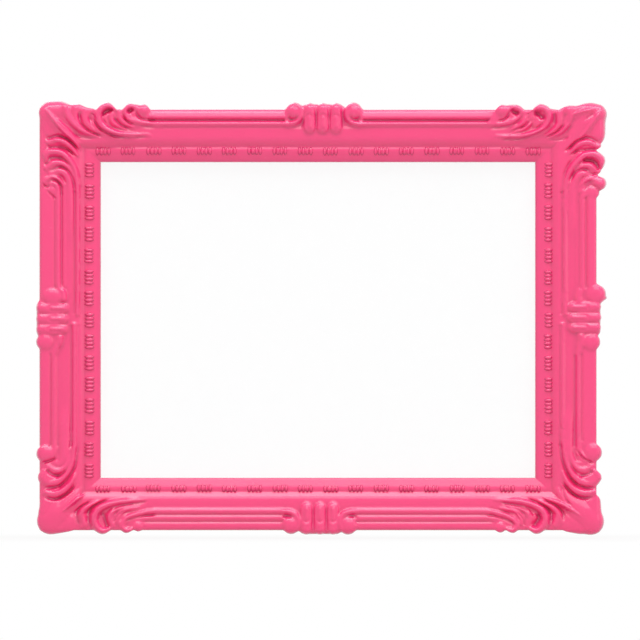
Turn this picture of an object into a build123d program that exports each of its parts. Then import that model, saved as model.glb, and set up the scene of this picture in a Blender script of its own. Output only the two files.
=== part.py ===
import os

from build123d import *

os.makedirs("parts", exist_ok=True)

# Frame of reference: origin at the middle of the sight opening on the back plane,
# X to the right seen from the front, Z up, the front towards minus Y. All sizes in mm.

# Sight opening and rails
sight_width = 172.0
sight_height = 125.0
side_rail = 24.0
top_rail = 20.5

# Section of a rail, as shares of its width from the sight edge outwards
lip_share = 0.12
bead_share = 0.30
hump_start_share = 0.315
hump_end_share = 0.665
band_share = 0.675

# Heights above the back plane
plate_thickness = 3.0
channel_depth = 1.6
sight_edge_height = 6.0
bead_step_height = 8.6
hump_height = 11.8
hump_step = 0.6
hump_fall = 0.5
band_height = 10.4
band_round = 1.0
corner_height = 13.0
cavity_height = 7.6

# Rim and back plate
rim_wall = 3.0
plate_ledge = 1.5
plate_clearance = 0.2

# Photo channel behind the lip
print_lap = 4.7
print_lap_bottom = 3.0
slot_clearance = 0.5
channel_rib = 2.0
cavity_setback = 7.0

# Clear window
window_thickness = 0.8
window_side_clearance = 0.2
window_face_clearance = 0.1
window_foot_clearance = 0.1
window_top_lap = 2.5
tab_width = 26.0
tab_setback = 1.0

# Back fixing screws
screw_head_radius = 2.0
screw_shank_radius = 0.95
screw_length = 7.9
screw_sink = 0.1
screw_recess_width = 0.5
screw_recess_length = 2.2
screw_recess_depth = 0.5
hole_clearance = 0.1
pilot_clearance = 0.05
pilot_extra = 0.7
boss_radius = 3.0
screw_corner_inset = 9.0
screw_corner_drop = 7.0
screw_side_offset = 38.0
screw_side_inset = 12.0
screw_bottom_offset = 45.0
screw_bottom_inset = 10.0

# Disc magnets
magnet_radius = 5.0
magnet_thickness = 2.0
magnet_sink = 0.1
magnet_clearance = 0.1
magnet_corner_inset = 13.5
magnet_corner_drop = 15.0
magnet_side_inset = 12.0
magnet_rail_inset = 11.5

# Grip notch behind the pull tab
notch_radius = 6.0
notch_offset = 2.0

# Bead row on the step of the moulding
bead_rise = 0.8
bead_width = 1.25
bead_pitch = 1.66
beads_in_top_group = 5
beads_in_side_group = 4
bead_end_gap = 0.15
top_group_pitch = 10.0
side_group_pitch = 8.5

# Ridges that run along the rails
thin_ridge_radius = 1.25
thin_ridge_rise = 12.3
thin_ridge_drop = 5.3
thin_ridge_inset = 7.4
fat_ridge_radius = 1.8
fat_ridge_rise = 12.4
fat_ridge_drop = 2.1
fat_ridge_inset = 2.8
tail_ridge_radius = 1.3
tail_ridge_rise = 12.6
tail_ridge_inset = 14.8
tail_ridge_gap = 2.0

# Mid-rail knuckles: three bars between two balls
bar_radius = 2.2
bar_pitch = 5.3
bar_rise = 13.2
bar_overhang = 2.9
bar_reach = 9.2
side_bar_reach = 10.8
ball_radius = 3.6
ball_rise = 13.0
ball_offset = 11.2
ball_inset = 0.6
side_ball_inset = 1.6
knuckle_half = 14.0
top_knuckle_shift = 2.0
bottom_knuckle_shift = 0.8
left_knuckle_shift = 0.6
right_knuckle_shift = 1.0

# Corner ornament
lobe_tip_radius = 3.4
lobe_tip_in = 13.0
lobe_tip_down = 11.5
lobe_fillet = 2.0
rib_radius = 1.2
rib_rise = 14.1
rib_inset = 4.4
scroll_radius = 1.9
scroll_rise = 13.2
scroll_foot = 5.4
frond_radius = 1.4
sprig_radius = 0.9
hook_end = 41.0
side_hook_end = 34.0
side_fat_start = 35.0

# Rounding of the scrolls: share of the full width, and fall below the crest
scroll_tiers = [(1.0, 1.0), (0.75, 0.4), (0.42, 0.0)]

half_sight_x = sight_width / 2
half_sight_z = sight_height / 2
half_outer_x = half_sight_x + side_rail
half_outer_z = half_sight_z + top_rail
channel_top = plate_thickness + channel_depth
recess_x = half_outer_x - rim_wall
recess_z = half_outer_z - rim_wall
channel_x = half_sight_x + print_lap
channel_foot = half_sight_z + print_lap_bottom
slot_x = channel_x + slot_clearance
embed = 0.2


def at_height(height):
    """Sketch plane facing the viewer, this far in front of the back plane."""
    return Plane(origin=(0, -height, 0), x_dir=(1, 0, 0), z_dir=(0, -1, 0))


def rail(origin, across, along, width, half_length):
    """One straight rail with its moulded section, before mitring."""
    with BuildPart() as bar:
        with BuildSketch(Plane(origin=origin, x_dir=across, z_dir=along)):
            with BuildLine():
                start = (0, 0)
                edge = (0, sight_edge_height)
                lip_top = (lip_share * width, bead_step_height)
                lip_bend = (lip_share * width / 4, bead_step_height)
                step_end = (bead_share * width, bead_step_height)
                hump_start = (hump_start_share * width, bead_step_height + hump_step)
                hump_end = (hump_end_share * width, hump_height - hump_fall)
                hump_pull = (8 * hump_height - hump_start[1] - hump_end[1]) / 6
                hump_rise = (0.7 * hump_start[0] + 0.3 * hump_end[0], hump_pull)
                hump_sink = (0.3 * hump_start[0] + 0.7 * hump_end[0], hump_pull)
                band_start = (band_share * width, band_height)
                band_end = (width - band_round, band_height)
                shoulder = (width - 0.3 * band_round, band_height - 0.3 * band_round)
                wall_top = (width, band_height - band_round)
                wall_foot = (width, 0)
                Line(start, edge)
                Bezier(edge, lip_bend, lip_top)
                Polyline(lip_top, step_end, hump_start)
                Bezier(hump_start, hump_rise, hump_sink, hump_end)
                Polyline(hump_end, band_start, band_end)
                ThreePointArc(band_end, shoulder, wall_top)
                Polyline(wall_top, wall_foot, start)
            make_face()
        extrude(amount=half_length, both=True)
    return bar.part


def round_bar(start, end, radius, rise):
    """A straight round ridge with rounded ends, its crest at the given height."""
    places = [(x, radius - rise, z) for x, z in (start, end)]
    with BuildPart() as bar:
        with BuildLine() as path:
            run = Line(*places)
        with BuildSketch(Plane(origin=run @ 0, z_dir=run % 0)):
            Circle(radius)
        sweep(path=path.wire())
        with Locations(places):
            Sphere(radius)
    return bar.part


def scroll_line(points):
    """Arcs through three points, and on through each further point without a kink."""
    arcs = [ThreePointArc(*points[:3])]
    for point in points[3:]:
        arcs.append(TangentArc(arcs[-1] @ 1, point, tangent=arcs[-1] % 1))
    return arcs


def ball(x, z, radius, rise):
    with BuildPart() as knob:
        with Locations((x, -(rise - radius), z)):
            Sphere(radius)
    return knob.part


def corner_point(side, up, along, down):
    """A place given from a rail corner: along the top rail and down the side rail."""
    return (side * (half_outer_x - along), up * (half_outer_z - down))


def corner_lobe(side, up, centre_in, centre_down, radius):
    """The rounded shell at a corner, drawn in to the mitre."""
    with BuildPart() as lobe:
        with BuildSketch(at_height(0)):
            with Locations(corner_point(side, up, centre_in, centre_down)):
                Circle(radius)
            with Locations(corner_point(side, up, lobe_tip_in, lobe_tip_down)):
                Circle(lobe_tip_radius)
            make_hull()
        extrude(amount=corner_height)
        fillet(lobe.faces().sort_by(Axis.Y)[0].edges(), radius=lobe_fillet)
    return lobe.part


def corner_scrolls(side, up, flare):
    """Centre lines and half widths of one corner; flare pushes the side scrolls out past the rail."""

    def place(along, down):
        return corner_point(side, up, along, down)

    def flared(along, down):
        return corner_point(side, up, along - flare * max(0.0, 1 - along / tail_ridge_inset), down)

    leaf = [place(12.6, -0.8), place(14.4, 4.2), place(20.6, 9.2)]
    frond = [place(17.8, -0.2), place(18.6, 4.8), place(24.2, 9.4)]
    scroll = [
        place(28.6, 0.4),
        place(25.4, -0.9),
        place(23.0, 2.2),
        place(27.2, 7.6),
        place(43.0, 9.6),
    ]
    sprig = [place(30.6, 2.0), place(30.9, 4.6), place(34.0, 6.8)]
    hook = [place(37.1, -0.2), place(34.2, 0.5), place(34.6, 3.6), place(hook_end, thin_ridge_drop)]
    side_leaf = [flared(2.7, 12.9), flared(8.2, 13.6), flared(12.4, 17.0)]
    side_scroll = [
        flared(2.8, 20.8),
        flared(4.8, 17.4),
        flared(8.8, 18.2),
        flared(13.0, 24.4),
        place(tail_ridge_inset, side_hook_end),
    ]
    side_frond = [flared(3.6, 23.4), flared(7.4, 22.4), flared(11.0, 27.4)]
    side_hook = [
        flared(2.6, 30.6),
        flared(4.4, 27.4),
        flared(6.9, 29.6),
        place(thin_ridge_inset, side_hook_end),
    ]
    return [
        (scroll_line(leaf), frond_radius),
        (scroll_line(frond), frond_radius),
        (scroll_line(scroll), scroll_radius),
        (scroll_line(sprig), sprig_radius),
        (scroll_line(hook), thin_ridge_radius),
        (scroll_line(side_leaf), frond_radius),
        (scroll_line(side_scroll), tail_ridge_radius),
        (scroll_line(side_frond), frond_radius),
        (scroll_line(side_hook), thin_ridge_radius),
    ]


# Corner by corner: side, up, shell centre, shell radius and how far the side scrolls flare out
corners = [
    (-1, 1, 5.5, 2.9, 6.4, 0.6),
    (1, 1, 2.9, 3.4, 6.8, 4.0),
    (-1, -1, 4.8, 3.6, 6.2, 1.6),
    (1, -1, 3.4, 3.6, 6.3, 2.8),
]

ornament = []
scrolls = []
for side, up, centre_in, centre_down, radius, flare in corners:
    rib_start = corner_point(side, up, rib_inset, rib_inset)
    rib_end = corner_point(side, up, lobe_tip_in, lobe_tip_down)
    ornament.append(corner_lobe(side, up, centre_in, centre_down, radius))
    ornament.append(round_bar(rib_start, rib_end, rib_radius, rib_rise))
    scrolls.extend(corner_scrolls(side, up, flare))

# Ridges along the rails, from the corner hooks to the mid-rail knuckles
thin_z = half_outer_z - thin_ridge_drop
fat_z = half_outer_z - fat_ridge_drop
thin_x = half_outer_x - thin_ridge_inset
fat_x = half_outer_x - fat_ridge_inset
tail_x = half_outer_x - tail_ridge_inset
hook_x = half_outer_x - hook_end
hook_z = half_outer_z - side_hook_end
fat_end_z = half_outer_z - side_fat_start
rail_shifts = {1: top_knuckle_shift, -1: bottom_knuckle_shift}
side_shifts = {1: right_knuckle_shift, -1: left_knuckle_shift}
for side in (-1, 1):
    for up in (-1, 1):
        stop_x = rail_shifts[up] + side * knuckle_half
        stop_z = side_shifts[side] + up * knuckle_half
        tail_end = side_shifts[side] + up * tail_ridge_gap
        top_thin = [(side * hook_x, up * thin_z), (stop_x, up * thin_z)]
        top_fat = [(side * hook_x, up * fat_z), (stop_x, up * fat_z)]
        side_thin = [(side * thin_x, up * hook_z), (side * thin_x, stop_z)]
        side_fat = [(side * fat_x, up * fat_end_z), (side * fat_x, stop_z)]
        side_tail = [(side * tail_x, up * hook_z), (side * tail_x, tail_end)]
        ornament.append(round_bar(*top_thin, thin_ridge_radius, thin_ridge_rise))
        ornament.append(round_bar(*top_fat, fat_ridge_radius, fat_ridge_rise))
        ornament.append(round_bar(*side_thin, thin_ridge_radius, thin_ridge_rise))
        ornament.append(round_bar(*side_fat, fat_ridge_radius, fat_ridge_rise))
        ornament.append(round_bar(*side_tail, tail_ridge_radius, tail_ridge_rise))

# Knuckles at the middle of each rail
for end in (-1, 1):
    z_out = end * (half_outer_z + bar_overhang - bar_radius)
    z_in = end * (half_outer_z - bar_reach + bar_radius)
    x_out = end * (half_outer_x + bar_overhang - bar_radius)
    x_in = end * (half_outer_x - side_bar_reach + bar_radius)
    for step in (-1, 0, 1):
        x = rail_shifts[end] + step * bar_pitch
        z = side_shifts[end] + step * bar_pitch
        ornament.append(round_bar((x, z_out), (x, z_in), bar_radius, bar_rise))
        ornament.append(round_bar((x_out, z), (x_in, z), bar_radius, bar_rise))
    for step in (-1, 1):
        x = rail_shifts[end] + step * ball_offset
        z = side_shifts[end] + step * ball_offset
        ornament.append(ball(x, end * (half_outer_z - ball_inset), ball_radius, ball_rise))
        ornament.append(ball(end * (half_outer_x - side_ball_inset), z, ball_radius, ball_rise))

# Front moulding: four mitred rails, ornament and bead row in one moulded piece
top_bar = rail((0, 0, half_sight_z), (0, 0, 1), (1, 0, 0), top_rail, half_outer_x + embed)
side_bar = rail((half_sight_x, 0, 0), (1, 0, 0), (0, 0, -1), side_rail, half_outer_z + embed)
right_mitre = Plane((half_sight_x, 0, half_sight_z), x_dir=(0, 1, 0), z_dir=(-top_rail, 0, side_rail))
left_mitre = Plane((-half_sight_x, 0, half_sight_z), x_dir=(0, 1, 0), z_dir=(top_rail, 0, side_rail))
low_mitre = Plane((half_sight_x, 0, -half_sight_z), x_dir=(0, 1, 0), z_dir=(top_rail, 0, side_rail))
step_width = bead_share - lip_share
bead_z = half_sight_z + (lip_share + bead_share) / 2 * top_rail
bead_x = half_sight_x + (lip_share + bead_share) / 2 * side_rail
top_groups = int(sight_width // top_group_pitch) + 1
side_groups = int(sight_height // side_group_pitch) + 1
corner_screw_x = half_outer_x - screw_corner_inset
corner_screw_z = half_outer_z - screw_corner_drop
side_screw_x = half_outer_x - screw_side_inset
bottom_screw_z = half_outer_z - screw_bottom_inset
screw_places = []
for side in (-1, 1):
    for up in (-1, 1):
        screw_places.append((side * corner_screw_x, up * corner_screw_z))
        screw_places.append((side * side_screw_x, up * screw_side_offset))
    screw_places.append((side * screw_bottom_offset, -bottom_screw_z))

with BuildPart() as top_member:
    add(top_bar)
    split(bisect_by=right_mitre, keep=Keep.TOP)
    split(bisect_by=left_mitre, keep=Keep.TOP)

with BuildPart() as side_member:
    add(side_bar)
    split(bisect_by=right_mitre, keep=Keep.BOTTOM)
    split(bisect_by=low_mitre, keep=Keep.TOP)

with BuildPart() as front_moulding:
    add(top_member.part)
    add(side_member.part)
    mirror(about=Plane.YZ)
    mirror(about=Plane.XY)
    add(ornament)
    for width_share, fall in scroll_tiers:
        with BuildSketch(at_height(scroll_foot)):
            for arcs, radius in scrolls:
                for arc in arcs:
                    SlotArc(arc, 2 * radius * width_share)
        extrude(amount=scroll_rise - fall - scroll_foot)
    with BuildSketch(at_height(bead_step_height - embed)):
        with GridLocations(top_group_pitch, 2 * bead_z, top_groups, 2):
            with GridLocations(bead_pitch, 1, beads_in_top_group, 1):
                SlotOverall(step_width * top_rail - 2 * bead_end_gap, bead_width, rotation=90)
        with GridLocations(2 * bead_x, side_group_pitch, 2, side_groups):
            with GridLocations(1, bead_pitch, 1, beads_in_side_group):
                SlotOverall(step_width * side_rail - 2 * bead_end_gap, bead_width)
    extrude(amount=bead_rise + embed)
    with BuildSketch(at_height(0)):
        Rectangle(2 * recess_x, 2 * recess_z)
    extrude(amount=plate_thickness, mode=Mode.SUBTRACT)
    with BuildSketch(at_height(0)):
        with Locations((0, half_outer_z)):
            Rectangle(2 * slot_x, 6 * rim_wall)
    extrude(amount=channel_top, mode=Mode.SUBTRACT)
    with BuildSketch(at_height(plate_thickness)):
        with Locations((0, half_outer_z + rim_wall)):
            Rectangle(2 * channel_x, half_outer_z + rim_wall + channel_foot, align=(Align.CENTER, Align.MAX))
    extrude(amount=channel_depth, mode=Mode.SUBTRACT)
    with BuildSketch(at_height(plate_thickness)):
        Rectangle(2 * (recess_x - plate_ledge), 2 * (recess_z - plate_ledge))
        inner_x = 2 * (channel_x + channel_rib)
        inner_z = 2 * (half_sight_z + cavity_setback)
        Rectangle(inner_x, inner_z, mode=Mode.SUBTRACT)
        with Locations(screw_places):
            Circle(boss_radius, mode=Mode.SUBTRACT)
    extrude(amount=cavity_height - plate_thickness, mode=Mode.SUBTRACT)
    with BuildSketch(at_height(plate_thickness)):
        with Locations(screw_places):
            Circle(screw_shank_radius + pilot_clearance)
    extrude(amount=screw_length + screw_sink + pilot_extra - plate_thickness, mode=Mode.SUBTRACT)

front_moulding.part.label = "front_moulding"
export_step(front_moulding.part, "parts/front_moulding.step")

# Back plate: rear ring with magnet pockets, screw holes and the tongue behind the photo slot
corner_magnet_x = half_outer_x - magnet_corner_inset
corner_magnet_z = half_outer_z - magnet_corner_drop
side_magnet_x = half_outer_x - magnet_side_inset
rail_magnet_z = half_outer_z - magnet_rail_inset
magnet_places = {
    "magnet_top_left": (-corner_magnet_x, corner_magnet_z),
    "magnet_top_centre": (0, rail_magnet_z),
    "magnet_top_right": (corner_magnet_x, corner_magnet_z),
    "magnet_left_middle": (-side_magnet_x, 0),
    "magnet_right_middle": (side_magnet_x, 0),
    "magnet_bottom_left": (-corner_magnet_x, -corner_magnet_z),
    "magnet_bottom_centre": (0, -rail_magnet_z),
    "magnet_bottom_right": (corner_magnet_x, -corner_magnet_z),
}
pocket_depth = magnet_thickness + magnet_sink
plate_x = recess_x - plate_clearance
plate_z = recess_z - plate_clearance
tongue_x = slot_x - plate_clearance
sink_radius = screw_head_radius + screw_sink
throat_radius = screw_shank_radius + hole_clearance

with BuildPart() as back_plate:
    with BuildSketch(at_height(0)):
        Rectangle(2 * plate_x, 2 * plate_z)
        with Locations((0, half_outer_z)):
            Rectangle(2 * tongue_x, 2 * rim_wall, align=(Align.CENTER, Align.MAX))
        Rectangle(sight_width, sight_height, mode=Mode.SUBTRACT)
        with Locations((0, half_outer_z + notch_offset)):
            Circle(notch_radius, mode=Mode.SUBTRACT)
    extrude(amount=plate_thickness)
    with BuildSketch(at_height(0)):
        with Locations(list(magnet_places.values())):
            Circle(magnet_radius + magnet_clearance)
    extrude(amount=pocket_depth, mode=Mode.SUBTRACT)
    for x, z in screw_places:
        with Locations(Location((x, 0, z), (90, 0, 0))):
            Cylinder(throat_radius, 3 * plate_thickness, mode=Mode.SUBTRACT)
            Cone(
                sink_radius,
                throat_radius,
                sink_radius - throat_radius,
                align=(Align.CENTER, Align.CENTER, Align.MIN),
                mode=Mode.SUBTRACT,
            )

back_plate.part.label = "back_plate"
export_step(back_plate.part, "parts/back_plate.step")

# Disc magnets, one in each pocket
for name, place in magnet_places.items():
    with BuildPart() as magnet:
        with BuildSketch(at_height(magnet_sink)):
            with Locations(place):
                Circle(magnet_radius)
        extrude(amount=magnet_thickness)
    magnet.part.label = name
    export_step(magnet.part, "parts/" + name + ".step")

# Clear window with its pull tab, resting in the foot of the channel against the lip
window_back = channel_top - window_face_clearance - window_thickness
window_foot = -channel_foot + window_foot_clearance
window_head = half_sight_z + window_top_lap
tab_head = half_outer_z - tab_setback

with BuildPart() as photo_window:
    with BuildSketch(at_height(window_back)):
        with Locations((0, window_foot)):
            Rectangle(
                2 * (channel_x - window_side_clearance),
                window_head - window_foot,
                align=(Align.CENTER, Align.MIN),
            )
        with Locations((0, window_head)):
            Rectangle(tab_width, 2 * (tab_head - window_head))
        tab_ends = vertices().sort_by(Axis.Z)[-2:]
        fillet(tab_ends, radius=tab_width / 8)
    extrude(amount=window_thickness)

photo_window.part.label = "photo_window"
export_step(photo_window.part, "parts/photo_window.step")

# Countersunk screws that hold the back plate in the moulding
head_height = sink_radius - throat_radius - screw_sink

with BuildPart() as back_screws:
    for x, z in screw_places:
        with Locations(Location((x, -screw_sink, z), (90, 0, 0))):
            Cone(screw_head_radius, throat_radius, head_height, align=(Align.CENTER, Align.CENTER, Align.MIN))
            Cylinder(screw_shank_radius, screw_length, align=(Align.CENTER, Align.CENTER, Align.MIN))
            Box(screw_recess_length, screw_recess_width, 2 * screw_recess_depth, mode=Mode.SUBTRACT)
            Box(screw_recess_width, screw_recess_length, 2 * screw_recess_depth, mode=Mode.SUBTRACT)

back_screws.part.label = "back_screws"
export_step(back_screws.part, "parts/back_screws.step")
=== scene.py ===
import math

import bmesh
import bpy
import numpy as np
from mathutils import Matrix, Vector


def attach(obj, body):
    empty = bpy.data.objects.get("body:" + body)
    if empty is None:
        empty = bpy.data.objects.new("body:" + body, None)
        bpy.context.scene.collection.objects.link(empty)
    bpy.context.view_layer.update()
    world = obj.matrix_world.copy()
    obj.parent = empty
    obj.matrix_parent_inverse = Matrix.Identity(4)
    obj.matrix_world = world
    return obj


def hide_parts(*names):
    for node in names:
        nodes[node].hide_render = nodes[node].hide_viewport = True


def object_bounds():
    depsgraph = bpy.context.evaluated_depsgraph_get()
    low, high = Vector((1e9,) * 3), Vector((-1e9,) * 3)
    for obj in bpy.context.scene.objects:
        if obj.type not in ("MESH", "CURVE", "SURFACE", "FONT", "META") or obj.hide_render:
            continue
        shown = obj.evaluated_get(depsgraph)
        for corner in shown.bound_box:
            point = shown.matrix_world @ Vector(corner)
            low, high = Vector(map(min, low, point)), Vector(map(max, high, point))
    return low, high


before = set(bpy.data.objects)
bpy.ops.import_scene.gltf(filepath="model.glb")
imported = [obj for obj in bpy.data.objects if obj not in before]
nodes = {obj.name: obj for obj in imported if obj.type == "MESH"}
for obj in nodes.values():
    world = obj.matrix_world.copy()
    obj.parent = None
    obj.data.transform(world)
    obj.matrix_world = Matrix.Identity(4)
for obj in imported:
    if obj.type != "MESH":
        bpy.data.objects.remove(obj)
cadBox = [list(corner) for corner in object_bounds()]
scene = bpy.context.scene
mm = 0.001
print("frame loaded:", len(nodes), "nodes")

# Rails as measured, in mm: half sizes of the sight opening and of the rails' outer edges
rails = dict(sightX=86.0, sightZ=62.5, outerX=110.3, outerZ=83.3)
sideWide = rails["outerX"] - rails["sightX"]
flatWide = rails["outerZ"] - rails["sightZ"]

# Section of a rail: share of its width from the sight edge, and height above the back plane in mm
section = dict(
    rail=[
        (0.0, 8.0), (0.006, 8.42), (0.02, 8.54), (0.10, 9.21), (0.16, 9.6), (0.20, 9.73), (0.24, 9.62),
        (0.26, 9.57), (0.275, 9.72), (0.30, 10.14), (0.33, 10.62), (0.36, 10.97), (0.39, 11.14),
        (0.46, 11.29), (0.55, 11.32), (0.63, 11.3), (0.67, 11.0), (0.685, 10.6), (0.70, 10.6),
    ],
    topRail=[
        (0.0, 8.0), (0.006, 8.42), (0.02, 8.54), (0.07, 8.96), (0.15, 9.55), (0.19, 9.77), (0.225, 9.88),
        (0.26, 9.78), (0.30, 9.55), (0.31, 9.66), (0.343, 10.28), (0.385, 10.75), (0.435, 11.07),
        (0.50, 11.22), (0.60, 11.26), (0.655, 11.12), (0.685, 10.65), (0.70, 10.6),
    ],  # its lip is wider
    topRailEnd=(78.0, 86.0),  # mm from the middle, where the top rail's section gives way
    band=dict(top=10.8, bottom=11.45, side=12.0),  # level of the outer part, under its ridges
    corner=11.9,  # and under the leaves of the corners
    cornerOnSide=(48.0, 53.0),  # mm from the middle, where the level turns into the corner's
    cornerOnFlat=(66.0, 72.0),
    bandStart=(0.64, 0.70),  # shares between which the outer part begins
    carvingStart=(0.31, 0.37),  # and the ridges
    fallOff=0.8,  # slope past the rails' outer edge
    leastRise=0.05,  # mm by which a crest clears its ground
)

# Places were read off the photograph in its pixels; this turns them into mm on the frame
photo = dict(mmPerPixel=0.396, centreX=318.0, centreY=320.0)


def place(px, py):
    return (px - photo["centreX"]) * photo["mmPerPixel"], (photo["centreY"] - py) * photo["mmPerPixel"]


# Each carved ridge: places along its centre line, each with the half width in pixels and the crest in mm
def ridge(*stations, lean=0.5):
    return dict(stations=stations, lean=lean)  # a lean of 0.5 is round, less is squarer, more is sharper


topLeft = dict(
    eaves=ridge(
        (60, 109.8, 8, 12.9), (70, 110.8, 6.2, 12.5), (78, 110.4, 6.3, 12.6), (85, 112.4, 5.2, 12.4),
        (93, 113.6, 4.9, 12.2),
    ),
    hookFill=ridge((131, 109.4, 5.4, 12.3), (140, 110.8, 6, 12.4)),
    shell=ridge(
        (49.4, 113, 10.6, 13.2), (57, 121, 11, 13.2), (68, 133, 8, 12.5), (80, 147, 4, 11.6), lean=0.8,
    ),
    shellTop=ridge((51, 112, 11, 13.3), (61, 110.5, 9.4, 13.3), (67, 115, 7, 12.8), lean=0.7),
    shellFoot=ridge((49, 119, 8.5, 12.8), (51, 129, 8, 12.3), (60, 134, 6, 11.9), lean=0.7),
    vein=ridge(
        (47, 111, 2, 13.8), (55, 121, 3, 14.2), (63, 130, 3.2, 13.9), (72, 138, 3, 13.3),
        (79, 146, 1.6, 12.4), lean=0.9,
    ),
    veinTwin=ridge(
        (51, 113, 1.6, 13.6), (59, 122, 2.6, 13.9), (65, 127.5, 2.6, 13.6), (72, 134.5, 2.2, 13),
        (78, 142, 1, 12.1), lean=0.9,
    ),
    leafEdge=ridge(
        (65, 107, 4, 13.7), (69, 117, 3.6, 13.8), (75, 125, 3.2, 13.5), (83, 131, 2.8, 13),
        (92, 134.5, 2.2, 12.6), (98, 136, 1, 12),
    ),
    fingerOne=ridge(
        (76, 108.5, 4.2, 13.2), (76, 116, 3.4, 13.1), (80, 123.5, 3, 12.9), (87, 129.5, 2.4, 12.6),
        (96, 134, 1, 11.9),
    ),
    fingerTwo=ridge(
        (86, 111.5, 4, 12.8), (85, 118, 3.6, 13), (88.5, 125, 3.2, 12.9), (96, 131, 2.6, 12.5),
        (105, 134.8, 1, 11.8),
    ),
    fingerThin=ridge(
        (93, 117, 1.8, 12.6), (94, 123, 2, 12.7), (97.5, 128.5, 2, 12.6), (103, 132, 1.8, 12.3),
        (110, 135, 0.9, 11.9),
    ),
    bigScroll=ridge(
        (113.5, 109.5, 2.6, 13.4), (108, 105.8, 3.4, 13.8), (102, 108.5, 3.8, 14), (98.6, 115, 4, 14),
        (99.6, 122, 4, 13.8), (104.5, 128, 3.8, 13.6), (112, 131.8, 3.4, 13.4), (122, 134.5, 2.9, 13.1),
        (135, 135.6, 2.2, 12.6), (151, 135.2, 0.9, 11.75),
    ),
    scrollLeaf=ridge((107, 112.5, 2.2, 12.5), (106, 118, 2.6, 12.9), (109, 124, 1.2, 12.4)),
    scrollLeafTwo=ridge(
        (113, 113, 2.4, 12.6), (112, 120, 2.6, 12.9), (117, 125.5, 2.2, 12.7), (127, 129.5, 1, 12),
    ),
    sprig=ridge(
        (119.5, 111.5, 2.6, 12.6), (121, 119, 2.7, 12.9), (126, 124, 2.2, 12.7), (134, 127.8, 1, 12),
    ),
    hook=ridge(
        (134.5, 107, 2.2, 13), (129.5, 106.3, 2.8, 13.2), (125.6, 111, 3, 13.2), (127.6, 117.5, 3, 13),
        (134, 121.6, 2.9, 12.7), (144, 123.6, 2.8, 12.4), (160, 124.1, 2.7, 12.2),
        (284, 124.1, 2.7, 12.2),
    ),
    railBall=ridge((143.5, 110.6, 6.4, 13.1)),
    railBand=ridge(
        (146, 117.6, 8.4, 12.15), (156, 118.2, 8.9, 12.15), (284, 118.2, 8.9, 12.15), lean=1.3,
    ),
    sideLeaf=ridge(
        (49, 142.5, 3, 12.7), (56, 140.3, 3.4, 13.2), (63, 141.5, 3.2, 13.2), (69, 145, 3, 13),
        (74, 150, 2.4, 12.5), (78, 156, 1, 11.9),
    ),
    sideScroll=ridge(
        (47, 160.5, 2.8, 12.8), (46.6, 155, 3.4, 13.2), (52, 151.8, 3.5, 13.4), (61, 152.8, 3.4, 13.4),
        (68, 158, 3.2, 13.2), (72.5, 164, 3, 13), (76, 172, 2.6, 12.7), (77.6, 183, 2.4, 12.5),
        (78, 200, 2.3, 12.4), (77.6, 314, 2.2, 12.4),
    ),
    sideFrond=ridge(
        (47, 168.5, 3, 12.6), (54, 163.8, 3.5, 13), (62, 163.4, 3.3, 13), (68, 167.3, 3, 12.8),
        (72, 174, 2.4, 12.5), (74, 183, 1, 11.9),
    ),
    sideArch=ridge(
        (51, 174, 3, 12.4), (59, 171, 3.8, 12.7), (66.5, 174.5, 4, 12.7), (69.8, 183, 4.2, 12.5),
        (70.3, 200, 4.3, 12.2), (70.2, 226, 4.3, 11.9), lean=0.6,
    ),
    sideHook=ridge(
        (43.8, 184, 1.8, 12.8), (46.6, 180, 2.2, 13), (52.5, 177.6, 2.2, 13), (59, 179.2, 2, 12.8),
        (63, 184.5, 1.6, 12.6), (64.3, 193, 1.3, 12.3), (64.4, 286, 1.2, 12.1),
    ),
    sideThin=ridge(
        (50, 185, 1.8, 12.6), (54.5, 183.4, 2.4, 12.8), (57.8, 187.5, 2.6, 12.8), (58.5, 196, 2.8, 12.6),
        (58.5, 284, 2.8, 12.6),
    ),
    sideBall=ridge((51, 190.5, 5, 12.6)),
    sideKnob=ridge((44.8, 184, 3.8, 12.3)),
    sideBand=ridge((47.3, 196, 7.2, 12.2), (47.3, 288, 7.2, 12.2), lean=0.3),
)

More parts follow.
